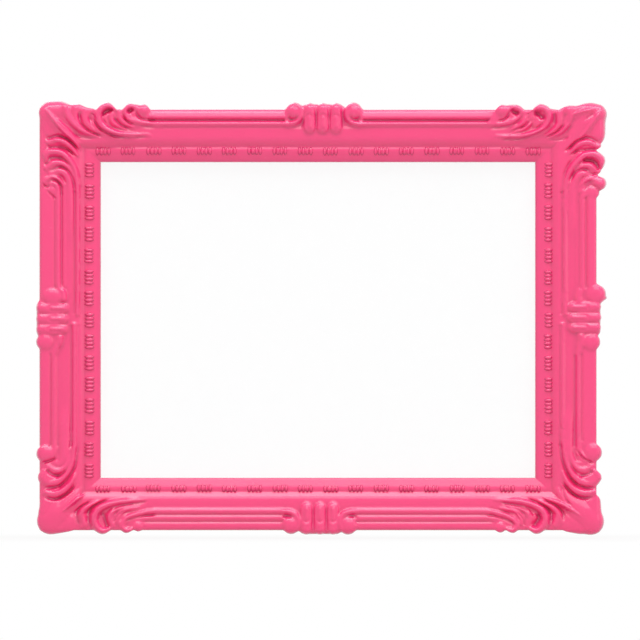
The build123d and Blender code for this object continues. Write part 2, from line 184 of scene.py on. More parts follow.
topRight = dict(
    eaves=ridge(
        (550, 113.4, 4.6, 12.1), (559, 113.8, 4.3, 12.2), (568, 111, 5.5, 12.5), (575, 112, 5.8, 12.6),
        (584, 112, 8.6, 13),
    ),
    hookFill=ridge((505, 111.4, 5.6, 12.4), (513, 110.4, 5.8, 12.3)),
    shell=ridge(
        (596, 115, 11, 13.2), (588, 122, 13, 13.3), (578, 133, 10, 12.5), (567, 146, 4, 11.6), lean=0.8,
    ),
    shellTop=ridge((579, 114, 8, 12.9), (590, 111.8, 9.2, 13.3), (598, 114.5, 9, 13.3), lean=0.7),
    shellFoot=ridge((597, 123, 8.4, 13), (595.6, 137, 8.6, 12.8), (586, 138, 5, 12.3), lean=0.7),
    vein=ridge(
        (600.4, 111, 2, 13.8), (597, 116, 3.4, 14.3), (591.6, 123.4, 3.6, 14.1), (585, 132, 3, 13.5),
        (574, 145, 1.2, 12.1), lean=0.9,
    ),
    veinTwin=ridge((575, 114, 1.8, 13.5), (583, 111.6, 3, 14.1), (592, 109.8, 2.4, 14), lean=0.9),
    leafEdge=ridge(
        (568.5, 110.4, 4.6, 13.4), (568.5, 118, 4.2, 13.4), (565.5, 126, 3.4, 13.2),
        (558.5, 133, 2.8, 12.8), (548, 137.6, 1.2, 12),
    ),
    fingerTwo=ridge(
        (558.5, 113.5, 3.6, 12.8), (559, 120, 3.4, 13), (557, 127, 3, 12.9), (551, 132.6, 2.6, 12.5),
        (543, 136.4, 1, 11.8),
    ),
    bigScroll=ridge(
        (534.3, 111.5, 2.8, 13.4), (539.5, 107.6, 3.6, 13.8), (545.6, 110, 3.9, 14), (548.6, 116, 4, 14),
        (547.6, 123, 4, 13.8), (543, 129, 3.8, 13.6), (535, 133.4, 3.4, 13.3), (525, 136, 2.8, 13),
        (510, 137, 2.1, 12.5), (495, 136.2, 0.9, 11.7),
    ),
    scrollLeaf=ridge((540.5, 114.5, 2.2, 12.5), (540.5, 121, 2.6, 12.9), (536.5, 126, 1.2, 12.4)),
    scrollLeafTwo=ridge(
        (531.5, 115, 2.3, 12.5), (530, 122.5, 2.5, 12.8), (523, 129, 2.1, 12.6), (513, 132.6, 1, 12),
    ),
    sprig=ridge(
        (526, 112.8, 2.6, 12.6), (525, 119.5, 2.6, 12.9), (519.5, 125.5, 2.1, 12.6), (511, 129.6, 1, 12),
    ),
    hook=ridge(
        (511, 109.6, 2.3, 13), (516, 107.6, 2.8, 13.2), (520.8, 111, 3, 13.2), (520.4, 116.5, 3, 13),
        (515, 120.6, 2.9, 12.7), (507, 123.3, 2.8, 12.4), (490, 124.3, 2.7, 12.2),
        (364, 124.3, 2.7, 12.2),
    ),
    railBall=ridge((502, 110.8, 6, 13.1)),
    railBand=ridge(
        (499, 117.8, 8.4, 12.15), (490, 118.4, 8.9, 12.15), (364, 118.4, 8.9, 12.15), lean=1.3,
    ),
    sideLeaf=ridge(
        (598, 146, 3, 12.8), (589, 142.4, 3.4, 13.2), (581, 143.5, 3.2, 13.1), (575, 147.5, 2.8, 12.7),
        (570, 153.5, 1, 11.9),
    ),
    sideScroll=ridge(
        (600, 166.5, 3.4, 12.9), (600.8, 160, 4.3, 13.2), (594, 154.6, 3.8, 13.4), (586, 155, 3.6, 13.4),
        (579, 159.4, 3.2, 13.2), (573, 166, 3, 13), (568, 174.5, 2.7, 12.7), (565.6, 185, 2.5, 12.5),
        (564.6, 200, 2.3, 12.4), (564.4, 314, 2.2, 12.4),
    ),
    sideFrond=ridge(
        (598, 171, 2.8, 12.6), (592, 167.4, 3.2, 12.9), (585, 165.6, 3.2, 13), (580, 168.4, 3, 12.8),
        (575.4, 174.5, 2.4, 12.5), (573.4, 183, 1, 11.9),
    ),
    sideArch=ridge(
        (595, 175.4, 2.8, 12.4), (586, 173, 3.4, 12.7), (578, 176, 3.6, 12.7), (573.4, 184, 4, 12.5),
        (572, 200, 4.3, 12.2), (572, 226, 4.4, 11.9), lean=0.6,
    ),
    sideHook=ridge(
        (593.6, 180.2, 2.2, 12.8), (590, 178.8, 2.6, 12.9), (584.4, 181.2, 2.6, 12.8),
        (581.8, 188, 2.6, 12.7), (582.4, 200, 2.5, 12.6), (582.4, 284, 2.5, 12.6),
    ),
    sideBall=ridge((599.4, 183.6, 6.9, 13.3)),
    sideKnob=ridge((592, 192.4, 7.2, 12.7)),
    sideBand=ridge((591.2, 196, 4.4, 12.5), (591.2, 290, 4.4, 12.5)),
)

bottomLeft = dict(
    shell=ridge(
        (51, 520.5, 14, 13.3), (58, 513, 13, 13.4), (68, 503, 9, 12.7), (80, 492, 4, 11.7), lean=0.8,
    ),
    shellTop=ridge((58, 523, 10.5, 12.8), (70, 522.5, 8.8, 12.5), lean=0.7),
    shellFoot=ridge((49, 503, 8.6, 12.6), (47, 512, 8.6, 12.9), lean=0.7),
    vein=ridge((64, 510.5, 1.4, 13.6), (73, 502, 2.4, 13.6), (82, 494.6, 2.2, 12.9), (88, 491, 1, 11.9)),
    fingerOne=ridge(
        (84, 524.5, 3.8, 12.7), (81.4, 517, 3.5, 13), (82.6, 511, 3.4, 13), (88, 506, 3, 12.8),
        (98, 501.3, 1.2, 12),
    ),
    bigScroll=ridge(
        (108, 529, 2.8, 13.4), (102.6, 530.6, 3.6, 13.8), (97, 526.6, 4.1, 14), (94.4, 519, 4.2, 14),
        (96.4, 511.8, 4, 13.8), (102.5, 506.4, 3.7, 13.6), (112, 503, 3.1, 13.2), (124, 501, 2.5, 12.6),
        (147, 500, 0.9, 11.45),
    ),
    scrollLeaf=ridge(
        (113.4, 526, 2.8, 12.6), (110, 518, 3, 12.9), (112.4, 511.4, 2.8, 12.9), (120, 507.4, 2.3, 12.6),
        (133, 504.8, 1, 11.7),
    ),
    sprig=ridge(
        (119.6, 524, 2.4, 12.5), (117.4, 518.6, 2.6, 12.7), (119.8, 513, 2.5, 12.7), (127, 509, 2, 12.4),
        (140, 507.4, 1, 11.7),
    ),
    hook=ridge(
        (131, 529, 2.3, 13), (126, 530, 3, 13.1), (122.2, 525.4, 3, 13), (126.4, 518.8, 3, 12.8),
        (136, 514.6, 2.9, 12.5), (150, 511.4, 2.9, 12.3), (170, 510.8, 2.9, 12.2),
        (282, 510.8, 2.9, 12.2),
    ),
    railBall=ridge((138.4, 526.2, 5.3, 12.8)),
    railBand=ridge((142, 525.2, 3.8, 11.9), (282, 525.2, 3.8, 11.9), lean=0.35),
    railTwin=ridge((141, 519, 2.2, 12.1), (152, 517.6, 3, 12.1), (282, 517.6, 3, 12.1)),
    sideLeaf=ridge(
        (46.5, 492.4, 3.2, 12.9), (54, 494, 3.6, 13), (61, 492, 3.4, 13), (67, 487.6, 3, 12.8),
        (72, 481.6, 2.4, 12.5), (75.4, 474, 1, 12), lean=0.38,
    ),
    sideScroll=ridge(
        (46, 471.5, 3, 12.9), (43.8, 477.4, 4.6, 13.1), (49.5, 482.2, 3.8, 13.1), (58, 481.4, 3.6, 13.1),
        (65, 476.5, 3.2, 13), (70, 469, 2.8, 12.8), (73.4, 459, 2.4, 12.6), (74.6, 447, 2.1, 12.5),
        (74.6, 430, 1.9, 12.4), (74.6, 324, 1.8, 12.4), lean=0.38,
    ),
    sideFrond=ridge(
        (47.5, 465.6, 2.8, 12.5), (54, 469.8, 3.1, 12.9), (60, 470.2, 3.1, 12.9), (66, 466, 2.7, 12.7),
        (69, 458, 2.1, 12.4), (70, 449, 1, 11.9),
    ),
    sideArch=ridge(
        (56, 463, 2.6, 12.2), (61, 463.5, 4, 12.4), (64.2, 457, 5, 12.5), (64.6, 440, 5.4, 12.2),
        (64.6, 414, 5.4, 11.9), lean=0.6,
    ),
    sideHook=ridge(
        (45, 456, 2, 12.6), (47.4, 459, 2.5, 12.9), (52.6, 456.4, 2.6, 12.8), (54.8, 449, 2.6, 12.7),
        (54.6, 436, 2.5, 12.6), (54.5, 354, 2.5, 12.6),
    ),
    sideLobe=ridge((47.4, 477, 9.4, 12.9), lean=0.6),
    sideBall=ridge((45.4, 453.4, 8.9, 13.5)),
    sideBand=ridge((45.6, 444, 4.8, 12.2), (45.6, 352, 4.8, 12.2), lean=0.35),
)

bottomRight = dict(
    shell=ridge(
        (590, 521, 14, 13.3), (582, 513, 13, 13.4), (571, 503, 9, 12.7), (558, 491, 4, 11.7), lean=0.8,
    ),
    shellTop=ridge((580, 523.6, 10.6, 12.8), (568, 523.2, 8.8, 12.5), lean=0.7),
    shellFoot=ridge((592, 502, 8.6, 12.6), (592.5, 512, 8.8, 12.9), lean=0.7),
    vein=ridge(
        (545, 498.5, 1, 11.9), (557, 501.6, 2.2, 12.9), (568, 507.2, 2.4, 13.6), (579, 514.6, 1.4, 13.6),
    ),
    fingerOne=ridge(
        (555.6, 524.5, 3.8, 12.7), (558.4, 517, 3.5, 13), (556.2, 510.6, 3.4, 13),
        (549.4, 505.2, 3, 12.8), (539, 500.8, 1.2, 12),
    ),
    bigScroll=ridge(
        (531, 528.6, 2.8, 13.4), (536.4, 530.4, 3.6, 13.8), (542, 526.6, 4.1, 14), (545, 519, 4.2, 14),
        (543.2, 511.8, 4, 13.8), (537, 506.4, 3.7, 13.6), (527, 502.6, 3.1, 13.2),
        (515, 500.6, 2.5, 12.6), (492, 499.6, 0.9, 11.45),
    ),
    scrollLeaf=ridge(
        (526.6, 526, 2.8, 12.6), (529.6, 518, 3, 12.9), (527, 511.6, 2.8, 12.9), (519, 507.6, 2.3, 12.6),
        (506, 505.2, 1, 11.7),
    ),
    sprig=ridge(
        (520.6, 523, 2.4, 12.5), (521.4, 518, 2.6, 12.7), (518.6, 513.2, 2.5, 12.7),
        (511.5, 509.6, 2, 12.4), (499, 507.8, 1, 11.7),
    ),
    hook=ridge(
        (508, 529, 2.3, 13), (513, 530, 3, 13.1), (516.6, 525, 3, 13), (512, 518.6, 3, 12.8),
        (503.5, 514.6, 2.9, 12.5), (492, 511.4, 2.9, 12.3), (474, 510.8, 2.9, 12.2),
        (356, 510.8, 2.9, 12.2),
    ),
    railBall=ridge((500, 527, 5.6, 12.8)),
    railBand=ridge((496, 525.2, 3.8, 11.9), (356, 525.2, 3.8, 11.9), lean=0.35),
    railTwin=ridge((497, 519, 2.2, 12.1), (486, 517.6, 3, 12.1), (356, 517.6, 3, 12.1)),
    sideLeaf=ridge(
        (593.4, 492, 3.2, 12.9), (585, 493.4, 3.6, 13), (577, 491, 3.4, 13), (571, 486.6, 3, 12.8),
        (566, 480, 2.4, 12.5), (562.8, 472, 1, 12), lean=0.38,
    ),
    sideScroll=ridge(
        (594, 471.5, 3, 12.9), (596.6, 477.4, 5, 13.1), (590, 482.8, 3.8, 13.1), (581, 481.4, 3.6, 13.1),
        (574, 476, 3.2, 13), (568.6, 468, 2.8, 12.8), (565, 457, 2.4, 12.6), (563, 445, 2.1, 12.5),
        (562.2, 430, 1.9, 12.4), (562, 324, 1.8, 12.4), lean=0.38,
    ),
    sideFrond=ridge(
        (592.5, 465.6, 2.8, 12.5), (585.5, 469.4, 3.1, 12.9), (578, 468.6, 3, 12.9),
        (572.6, 462, 2.5, 12.6), (570, 451, 1, 11.9),
    ),
    sideArch=ridge(
        (580, 463.6, 2.6, 12.2), (574, 462.6, 3.4, 12.4), (569.4, 455, 3.8, 12.5), (568.2, 440, 4, 12.2),
        (568, 414, 4, 11.9), lean=0.6,
    ),
    sideHook=ridge(
        (592.5, 460.4, 1.8, 12.6), (586, 458.4, 2.6, 12.9), (580.4, 453, 2.6, 12.8),
        (578.2, 444, 2.4, 12.6), (578, 354, 2.4, 12.6),
    ),
    sideLobe=ridge((590.6, 477.6, 9.8, 12.9), lean=0.6),
    sideBall=ridge((592.6, 452.4, 9.2, 13.2)),
    sideBand=ridge((588.4, 442, 6.4, 12.2), (588.4, 352, 6.4, 12.2), lean=0.35),
)

# Mid-rail knuckles: three bars with a smaller bar let into each, between two balls
knuckles = dict(
    bars=[
        ((309.6, 109.2), (309.6, 127.2), 6.2), ((322.8, 109.2), (322.8, 127.2), 6.2),
        ((335.8, 109.2), (335.8, 127.2), 6.2), ((306.4, 528.6), (306.4, 508.4), 5.9),
        ((319.8, 528.6), (319.8, 508.4), 5.9), ((333, 528.6), (333, 508.4), 5.9),
        ((41.4, 308.2), (63.6, 308.2), 5.1), ((41.4, 318.7), (63, 318.7), 5.1),
        ((41.4, 329.1), (62.4, 329.1), 5.1), ((595.8, 307), (573, 307), 5.1),
        ((596.2, 317.4), (572, 317.4), 5), ((595.8, 327.5), (573, 327.5), 4.9),
    ],  # outer end, inner end and half width
    barTop=(13.3, 13.2), barLean=0.42,
    # the smaller bars: start along the bar, then place, softness, depth and least height of the groove
    insetFrom=0.48, insetShare=0.46, insetSoft=0.16, insetDepth=0.6, insetAbove=11.2,
    pads=[
        ((306, 109.4), (339, 109.4), 5.3), ((304, 528.8), (337, 528.8), 5.1),
        ((41.2, 305), (41.2, 332), 4.5), ((595.8, 304), (595.8, 331), 4.5),
    ],
    padTop=11.9, padLean=0.3,
    balls=[
        (294.4, 111.6, 9.2), (353.2, 111.6, 9.2), (291, 525, 9), (348, 525.3, 9.2), (45, 341.7, 8.7),
        (596, 294.5, 9.9), (591, 342, 9),
    ],
    ballTop=13.2,
    longBall=ridge((50.6, 296.5, 8.2, 13.1), (56, 296.5, 8.2, 13.1)),
    nib=ridge((605.4, 298, 1.7, 10.5)),
    curls=[
        [(283, 124.1), (291, 124), (297, 121.6), (300.6, 117), (301, 111), (298.6, 106.6), (294, 105)],
        [
            (365, 124.3), (356.6, 124.2), (350.6, 121.8), (347, 117), (346.6, 111), (349, 106.6),
            (353.6, 105),
        ],
        [(281, 510.8), (288.5, 511.2), (294.6, 513.6), (298, 518.4), (298.6, 524), (297, 529)],
        [(357, 510.8), (350, 511.2), (343.8, 513.6), (340.4, 518.4), (339.8, 524), (341.4, 529)],
        [(58.5, 282), (60, 288), (63.6, 292.6), (64.2, 299)],
        [(54.5, 356), (56.4, 349), (60, 342.6), (61, 337)],
        [(582.4, 282), (581.4, 289), (578.6, 295), (578, 301)],
        [(578, 356), (579, 349), (581.4, 342), (581, 336)],
    ],
    curlHalf=(2.7, 2.8, 3, 3.1, 3, 2.8, 2.4),
    curlTop=(12.5, 12.7, 12.9, 13, 13, 12.9, 12.8),
)


# Cut lines between the ridges: half width in pixels, depth in mm, and the line
def cut(half, depth, *line):
    return dict(half=half, depth=depth, line=line)


cutting = dict(
    deepen=1.3,  # the smoothing of the mesh takes some of their depth away
    endFade=8.0,  # a curved cut runs out over an eighth of its length at each end
)
railCuts = [
    cut(1.4, 1, (287.5, 117), (291, 119.8), (295.6, 119.4), (298, 116.4)),
    cut(1.4, 1, (360.2, 117), (356.8, 119.8), (352.2, 119.4), (349.8, 116.4)),
    cut(1.3, 0.8, (282.6, 517), (286.6, 515), (291.6, 516.8)),
    cut(1.3, 0.8, (357, 518.6), (354, 515.6), (349, 515.6)),
    cut(1.9, 1.5, (150, 120.3), (284, 120.3)),
    cut(1.9, 1.5, (488, 120.5), (364, 120.5)),
    cut(1.1, 0.35, (146, 521.3), (282, 521.3)),
    cut(1.1, 0.35, (144, 514.3), (282, 514.3)),
    cut(1.1, 0.35, (492, 521.3), (356, 521.3)),
    cut(1.1, 0.35, (494, 514.3), (356, 514.3)),
    cut(1.3, 0.65, (55.2, 198), (55.2, 288)),
    cut(1.2, 0.7, (62, 194), (62, 288)),
    cut(1.4, 1.1, (75.4, 192), (75.4, 314)),
    cut(1.5, 0.4, (80.6, 186), (80.6, 314)),
    cut(1.3, 0.65, (51, 446), (51, 354)),
    cut(1.2, 0.65, (58, 446), (58, 354)),
    cut(1.4, 0.9, (72, 446), (72, 326)),
    cut(1.5, 0.4, (78.4, 452), (78.4, 326)),
    cut(1.4, 1.1, (562, 192), (562, 314)),
    cut(1.3, 0.7, (578.6, 194), (578.6, 288)),
    cut(1.2, 0.7, (585.4, 198), (585.4, 288)),
    cut(1.4, 0.9, (559.8, 446), (559.8, 326)),
    cut(1.3, 0.65, (574.4, 446), (574.4, 356)),
    cut(1.2, 0.65, (581, 440), (581, 354)),
]
topLeftCuts = [
    cut(
        1.8, 1.5, (45.5, 138.8), (50, 138.6), (55, 137), (60, 136.5), (65, 138), (70, 141.5), (75, 146),
        (79, 151),
    ),
    cut(1.5, 1, (48.5, 145), (51, 148), (57, 147.6), (64, 148), (70, 151), (75, 156)),
    cut(1.7, 0.9, (44.5, 165), (47.6, 163), (50, 158.8), (55, 158), (62, 158.6)),
    cut(
        1.6, 0.9, (49, 170.2), (52, 170.6), (55, 169), (60, 167), (65, 168), (69, 171.5), (72, 177),
        (74, 184), (75.2, 194),
    ),
    cut(1.3, 0.9, (50, 180.4), (54, 179.6), (57.5, 181), (60, 184), (61.5, 188), (62, 196)),
    cut(1.4, 0.9, (42.8, 183), (45, 186), (47.5, 187), (50.5, 184.6)),
    cut(1.5, 0.7, (48, 190.5), (50, 193.6), (53, 195.6), (55.4, 199)),
    cut(1.6, 0.7, (73, 132.4), (80, 136.4), (88, 137.8), (97, 137)),
    cut(
        1.5, 1.4, (82, 111.4), (79.6, 116), (80.6, 122), (85, 127.6), (90, 131.6), (96, 134.2),
        (102, 136),
    ),
    cut(1.3, 1, (92.8, 113.4), (91.2, 117.5), (91.2, 122)),
    cut(
        1.6, 1.3, (95, 114.6), (94.8, 120), (97, 125), (101, 129.6), (107, 132.8), (112, 135.2),
        (119, 136.8), (132, 137.2), (150, 136.6),
    ),
    cut(2.2, 2, (103, 115.6), (105.4, 112.4), (109.5, 110.4), (114, 109.8)),
    cut(1.3, 1.1, (113.6, 117.6), (118, 122.6), (122, 126), (129, 128.4)),
    cut(1.4, 0.8, (108.6, 116.5), (108.4, 121), (110.6, 126)),
    cut(1.4, 1, (123.6, 113), (125, 119), (129, 122.4), (135, 124.4), (144, 125.8), (156, 126.4)),
    cut(2.4, 2, (127.6, 110), (129.4, 111.4), (133.6, 109.6)),
    cut(1.4, 1.2, (136.4, 110), (137, 114.6), (140, 118), (145, 119.6), (156, 120.2)),
    cut(2, 0.3, (57, 115), (62.6, 121.2), (68, 126.4)),
]
topRightCuts = [
    cut(
        1.8, 1.5, (564.6, 151), (570, 147.4), (575, 142.6), (580, 139.6), (585, 138.2), (590, 138.8),
        (595, 141.6), (599, 145.4),
    ),
    cut(1.5, 1, (571, 154.6), (577, 150.8), (583, 150.2), (590, 149.8), (596, 150)),
    cut(2.6, 1.9, (582, 160.4), (588, 160.2), (593, 161.4), (596.6, 165), (599, 171)),
    cut(
        1.7, 1.2, (570, 182), (573, 175), (577, 171.2), (582, 169.2), (586.4, 170.2), (590, 173.6),
        (594, 174.2), (598.4, 173.6),
    ),
    cut(1.5, 0.7, (572, 158.6), (567, 167), (563.8, 176), (562.4, 186), (562, 196)),
    cut(1, 0.8, (580.4, 191), (583, 185.6), (587, 182.2), (592, 180.6)),
    cut(0.9, 0.7, (584.4, 191), (586.4, 187), (590, 184)),
    cut(1.4, 1, (591, 185.2), (596, 187.2), (600.6, 191.4)),
    cut(1.4, 1.2, (497, 121), (501, 120.6), (504.4, 119.4), (507.6, 116.6), (509.6, 111.4)),
    cut(2.2, 2, (511.6, 108.6), (513, 112), (516, 113.6), (518.4, 111.6)),
    cut(1.4, 1, (490, 127.6), (500, 127.4), (508, 126), (515, 123), (520.4, 118.6), (523, 112.6)),
    cut(1.3, 1.1, (519, 128.8), (524, 126.6), (527.6, 123.2), (530.6, 120.6)),
    cut(1.3, 0.8, (527.4, 114.6), (528, 119)),
    cut(1.3, 0.9, (531.4, 120), (532, 127.6)),
    cut(2.3, 2, (534, 110.6), (537, 113.6), (540.4, 116.4), (543, 119.8)),
    cut(
        1.6, 1.3, (551, 117), (550, 124), (546.6, 128.8), (541, 132.4), (534, 135.4), (526, 137.8),
        (515, 139.2), (500, 139.2),
    ),
    cut(1.4, 1.1, (553.4, 113.6), (554, 119), (555.2, 125)),
    cut(1.3, 0.8, (564.8, 113.4), (566.4, 118.6), (566.6, 124.6)),
    cut(1.4, 1.1, (564.4, 123.6), (561, 128.4), (557, 131.8), (552, 134.8), (546, 137)),
    cut(1.4, 0.7, (548, 139.4), (555, 140.2), (562, 139.2), (569, 136.8)),
    cut(2.6, 0.4, (584, 121), (589, 116.4), (594, 113)),
]
bottomLeftCuts = [
    cut(1.9, 1.2, (75.6, 484.6), (69, 492), (61.6, 497), (53.5, 498.6), (45, 496.4)),
    cut(1.8, 1, (77.4, 446), (76, 463.6), (70.8, 474), (63.7, 482), (57.6, 486), (45.6, 487.4)),
    cut(1.9, 1.3, (46.6, 469.2), (52.4, 474), (60.4, 475.6)),
    cut(1.5, 1.2, (43.4, 461.8), (49, 460.6), (56, 458.2)),
    cut(1.5, 1.2, (91, 501.2), (81, 506.6), (76.8, 512), (78, 519), (80.4, 525)),
    cut(1.5, 1.2, (108.6, 499.8), (97.4, 503.6), (90.4, 508.8), (88.8, 514.8), (90.4, 524)),
    cut(1.8, 1.5, (101.4, 512.6), (104, 515), (105.6, 520), (108.4, 528)),
    cut(1.3, 0.9, (148, 501.4), (132, 503.2), (119, 506.2), (111, 511)),
    cut(1.1, 0.7, (114, 522), (118.6, 514.6), (124, 511)),
    cut(1.3, 1, (156, 514.6), (144, 515.4), (132, 518), (124.6, 521.8)),
]
bottomRightCuts = [
    cut(1.9, 1.2, (562.4, 482.6), (569.4, 490.8), (576.4, 495.8), (585.4, 497.6), (592.6, 495.8)),
    cut(
        1.8, 1, (560.4, 440), (560.8, 454), (564, 465.8), (569.4, 476.6), (576.6, 483.8), (584.6, 486.9),
        (594.4, 487.2),
    ),
    cut(2, 1.2, (580, 475.8), (587, 474), (592.4, 470)),
    cut(1.4, 1.1, (576.6, 449.6), (582.8, 457.8), (592.6, 462.4)),
    cut(1.3, 0.8, (560.4, 485), (564, 496), (566.6, 500.6), (571, 505)),
    cut(1.5, 1.2, (543, 499), (553.2, 504), (560.4, 509.6), (563.2, 515), (562, 521)),
    cut(1.5, 1.2, (527, 498.6), (540.7, 504), (548.8, 509.6), (551, 515.8), (549.6, 524)),
    cut(1.8, 1.5, (536, 513.4), (538.8, 517.4), (533.2, 525.6)),
    cut(1.3, 0.9, (500, 502.2), (514, 504.6), (523, 507.8), (529, 512.4)),
    cut(1.1, 0.7, (516.6, 511.6), (522, 518), (524.4, 526)),
    cut(1.3, 1, (486, 515), (493.4, 515.6), (503.2, 518), (510.4, 521), (515, 525.4)),
    cut(1.1, 0.7, (486, 508.6), (493.4, 509), (505, 511.8), (514, 516.4)),
]
cuts = railCuts + topLeftCuts + topRightCuts + bottomLeftCuts + bottomRightCuts

tracing = dict(step=0.5, straightRun=25.0)  # mm between points; a longer gap is a straight run along a rail


def smoothLine(places):
    line = np.array([place(*spot) for spot in places])
    if len(line) < 3:
        return line
    ends = np.vstack([2 * line[0] - line[1], line, 2 * line[-1] - line[-2]])
    out = []
    for i in range(1, len(ends) - 2):
        before, start, end, after = ends[i - 1:i + 3]
        span = np.linalg.norm(end - start)
        if span > tracing["straightRun"]:
            out.append(start[None])
            continue
        t = np.linspace(0, 1, max(2, int(span / tracing["step"])), endpoint=False)[:, None]
        bend = (2 * before - 5 * start + 4 * end - after) * t ** 2
        twist = (3 * start - before - 3 * end + after) * t ** 3
        out.append(0.5 * (2 * start + (end - before) * t + bend + twist))
    return np.vstack(out + [line[-1:]])


def nearest(points, line):
    # distance to a line, and how far along it the nearest place lies, from 0 to 1
    if len(line) == 1:
        return np.linalg.norm(points - line[0], axis=1), np.zeros(len(points))
    lengths = np.linalg.norm(np.diff(line, axis=0), axis=1)
    reach = np.concatenate([[0], np.cumsum(lengths)])
    best = np.full(len(points), 1e9)
    along = np.zeros(len(points))
    for i in range(len(line) - 1):
        leg = line[i + 1] - line[i]
        t = np.clip(((points - line[i]) @ leg) / max(leg @ leg, 1e-12), 0, 1)
        gap = np.linalg.norm(points - line[i] - t[:, None] * leg, axis=1)
        closer = gap < best
        best[closer] = gap[closer]
        along[closer] = (reach[i] + t[closer] * lengths[i]) / reach[-1]
    return best, along


def prepare(item):
    places = [station[:2] for station in item["stations"]]
    half = np.array([station[2] for station in item["stations"]], float) * photo["mmPerPixel"]
    top = np.array([station[3] for station in item["stations"]], float)
    line = smoothLine(places)
    marks = np.zeros(1)
    if len(line) > 1:
        marks = nearest(np.array([place(*spot) for spot in places]), line)[1]
        marks = np.maximum.accumulate(marks)
    return dict(line=line, marks=marks, half=half, top=top, lean=item["lean"])


ridges = []
for corner in (topLeft, topRight, bottomLeft, bottomRight):
    ridges += [prepare(item) for item in corner.values()]
insetBars = []
for outerEnd, innerEnd, barHalf in knuckles["bars"]:
    outerTop, innerTop = knuckles["barTop"]
    bar = ridge((*outerEnd, barHalf, outerTop), (*innerEnd, barHalf, innerTop), lean=knuckles["barLean"])
    ridges.append(prepare(bar))
    insetEnd = [a + knuckles["insetFrom"] * (b - a) for a, b in zip(outerEnd, innerEnd)]
    insetBars.append((insetEnd, innerEnd, barHalf))
for padStart, padEnd, padHalf in knuckles["pads"]:
    ends = [(*spot, padHalf, knuckles["padTop"]) for spot in (padStart, padEnd)]
    ridges.append(prepare(ridge(*ends, lean=knuckles["padLean"])))
for ballX, ballY, ballHalf in knuckles["balls"]:
    ridges.append(prepare(ridge((ballX, ballY, ballHalf, knuckles["ballTop"]))))
ridges.append(prepare(knuckles["longBall"]))
ridges.append(prepare(knuckles["nib"]))
for curl in knuckles["curls"]:
    sizes = zip(curl, knuckles["curlHalf"], knuckles["curlTop"])
    ridges.append(prepare(ridge(*[(*spot, half, top) for spot, half, top in sizes])))
print("carved ridges:", len(ridges))


def shares(points):
    # how far across a side rail, and across a flat one, each place lies
    shareX = (np.abs(points[:, 0]) - rails["sightX"]) / sideWide
    shareZ = (np.abs(points[:, 1]) - rails["sightZ"]) / flatWide
    return shareX, shareZ


def ramp(value, start, end):
    t = np.clip((value - start) / (end - start), 0, 1)
    return t * t * (3 - 2 * t)


def curveThrough(x, knots):
    # a smooth curve through the knots
    knotX, knotY = np.array(knots).T
    width = np.diff(knotX)
    slope = np.diff(knotY) / width
    before = slope[:-1]
    after = slope[1:]
    sameWay = before * after > 0
    between = np.where(sameWay, 2 * before * after / np.where(sameWay, before + after, 1), 0)
    tangent = np.concatenate([slope[:1], between, slope[-1:]])
    part = np.clip(np.searchsorted(knotX, x) - 1, 0, len(width) - 1)
    t = np.clip((x - knotX[part]) / width[part], 0, 1)
    fromStart = knotY[part] + t * width[part] * tangent[part]
    fromEnd = knotY[part + 1] - (1 - t) * width[part] * tangent[part + 1]
    return fromStart + (fromEnd - fromStart) * ramp(t, 0, 1)


def baseHeight(points):
    x = np.abs(points[:, 0])
    z = np.abs(points[:, 1])
    upper = points[:, 1] > 0
    shareX, shareZ = shares(points)
    share = np.maximum(shareX, shareZ)
    onSide = shareX > shareZ
    onTopRail = upper * (1 - ramp(x, *section["topRailEnd"])) * (shareZ > shareX)
    height = curveThrough(share, section["rail"])
    height = height + (curveThrough(share, section["topRail"]) - height) * onTopRail
    band = section["band"]
    level = np.where(onSide, band["side"], np.where(upper, band["top"], band["bottom"]))
    inCorner = np.where(onSide, ramp(z, *section["cornerOnSide"]), ramp(x, *section["cornerOnFlat"]))
    level = level + (section["corner"] - level) * inCorner
    height = height + (level - height) * ramp(share, *section["bandStart"])
    beyond = np.maximum(x - rails["outerX"], z - rails["outerZ"])
    return np.where(beyond > 0, level - section["fallOff"] * beyond, height)


def footprint(points, item):
    # which points lie near a ridge, and their distance, half width and crest there
    reach = item["half"].max()
    low = item["line"].min(0) - reach
    high = item["line"].max(0) + reach
    near = np.where(((points >= low) & (points <= high)).all(1))[0]
    gap, along = nearest(points[near], item["line"])
    half = np.interp(along, item["marks"], item["half"])
    top = np.interp(along, item["marks"], item["top"])
    return near, gap, half, top


def carvedHeight(points):
    base = baseHeight(points)
    height = base.copy()
    keep = ramp(np.max(shares(points), axis=0), *section["carvingStart"])
    for item in ridges:
        near, gap, half, top = footprint(points, item)
        under = gap < half
        near = near[under]
        top = top[under]
        offset = (gap / half)[under]
        ground = np.minimum(base[near], top - section["leastRise"])
        lift = (1 - offset ** 2) ** item["lean"]
        height[near] = np.maximum(height[near], ground + (top - ground) * lift * keep[near])
    for start, end, half in insetBars:
        gap = nearest(points, np.array([place(*start), place(*end)]))[0]
        wide = half * photo["mmPerPixel"]
        offset = (gap - knuckles["insetShare"] * wide) / (knuckles["insetSoft"] * wide)
        height -= knuckles["insetDepth"] * np.exp(-offset ** 2) * (height > knuckles["insetAbove"])
    for item in cuts:
        line = smoothLine(item["line"])
        gap, along = nearest(points, line)
        offset = np.clip(gap / (item["half"] * photo["mmPerPixel"]), 0, 1)
        fade = 1.0
        if len(line) > 2:
            fade = np.clip(np.minimum(along, 1 - along) * cutting["endFade"], 0, 1)
        height -= cutting["deepen"] * item["depth"] * (1 - offset ** 2) ** 2 * fade
    return height


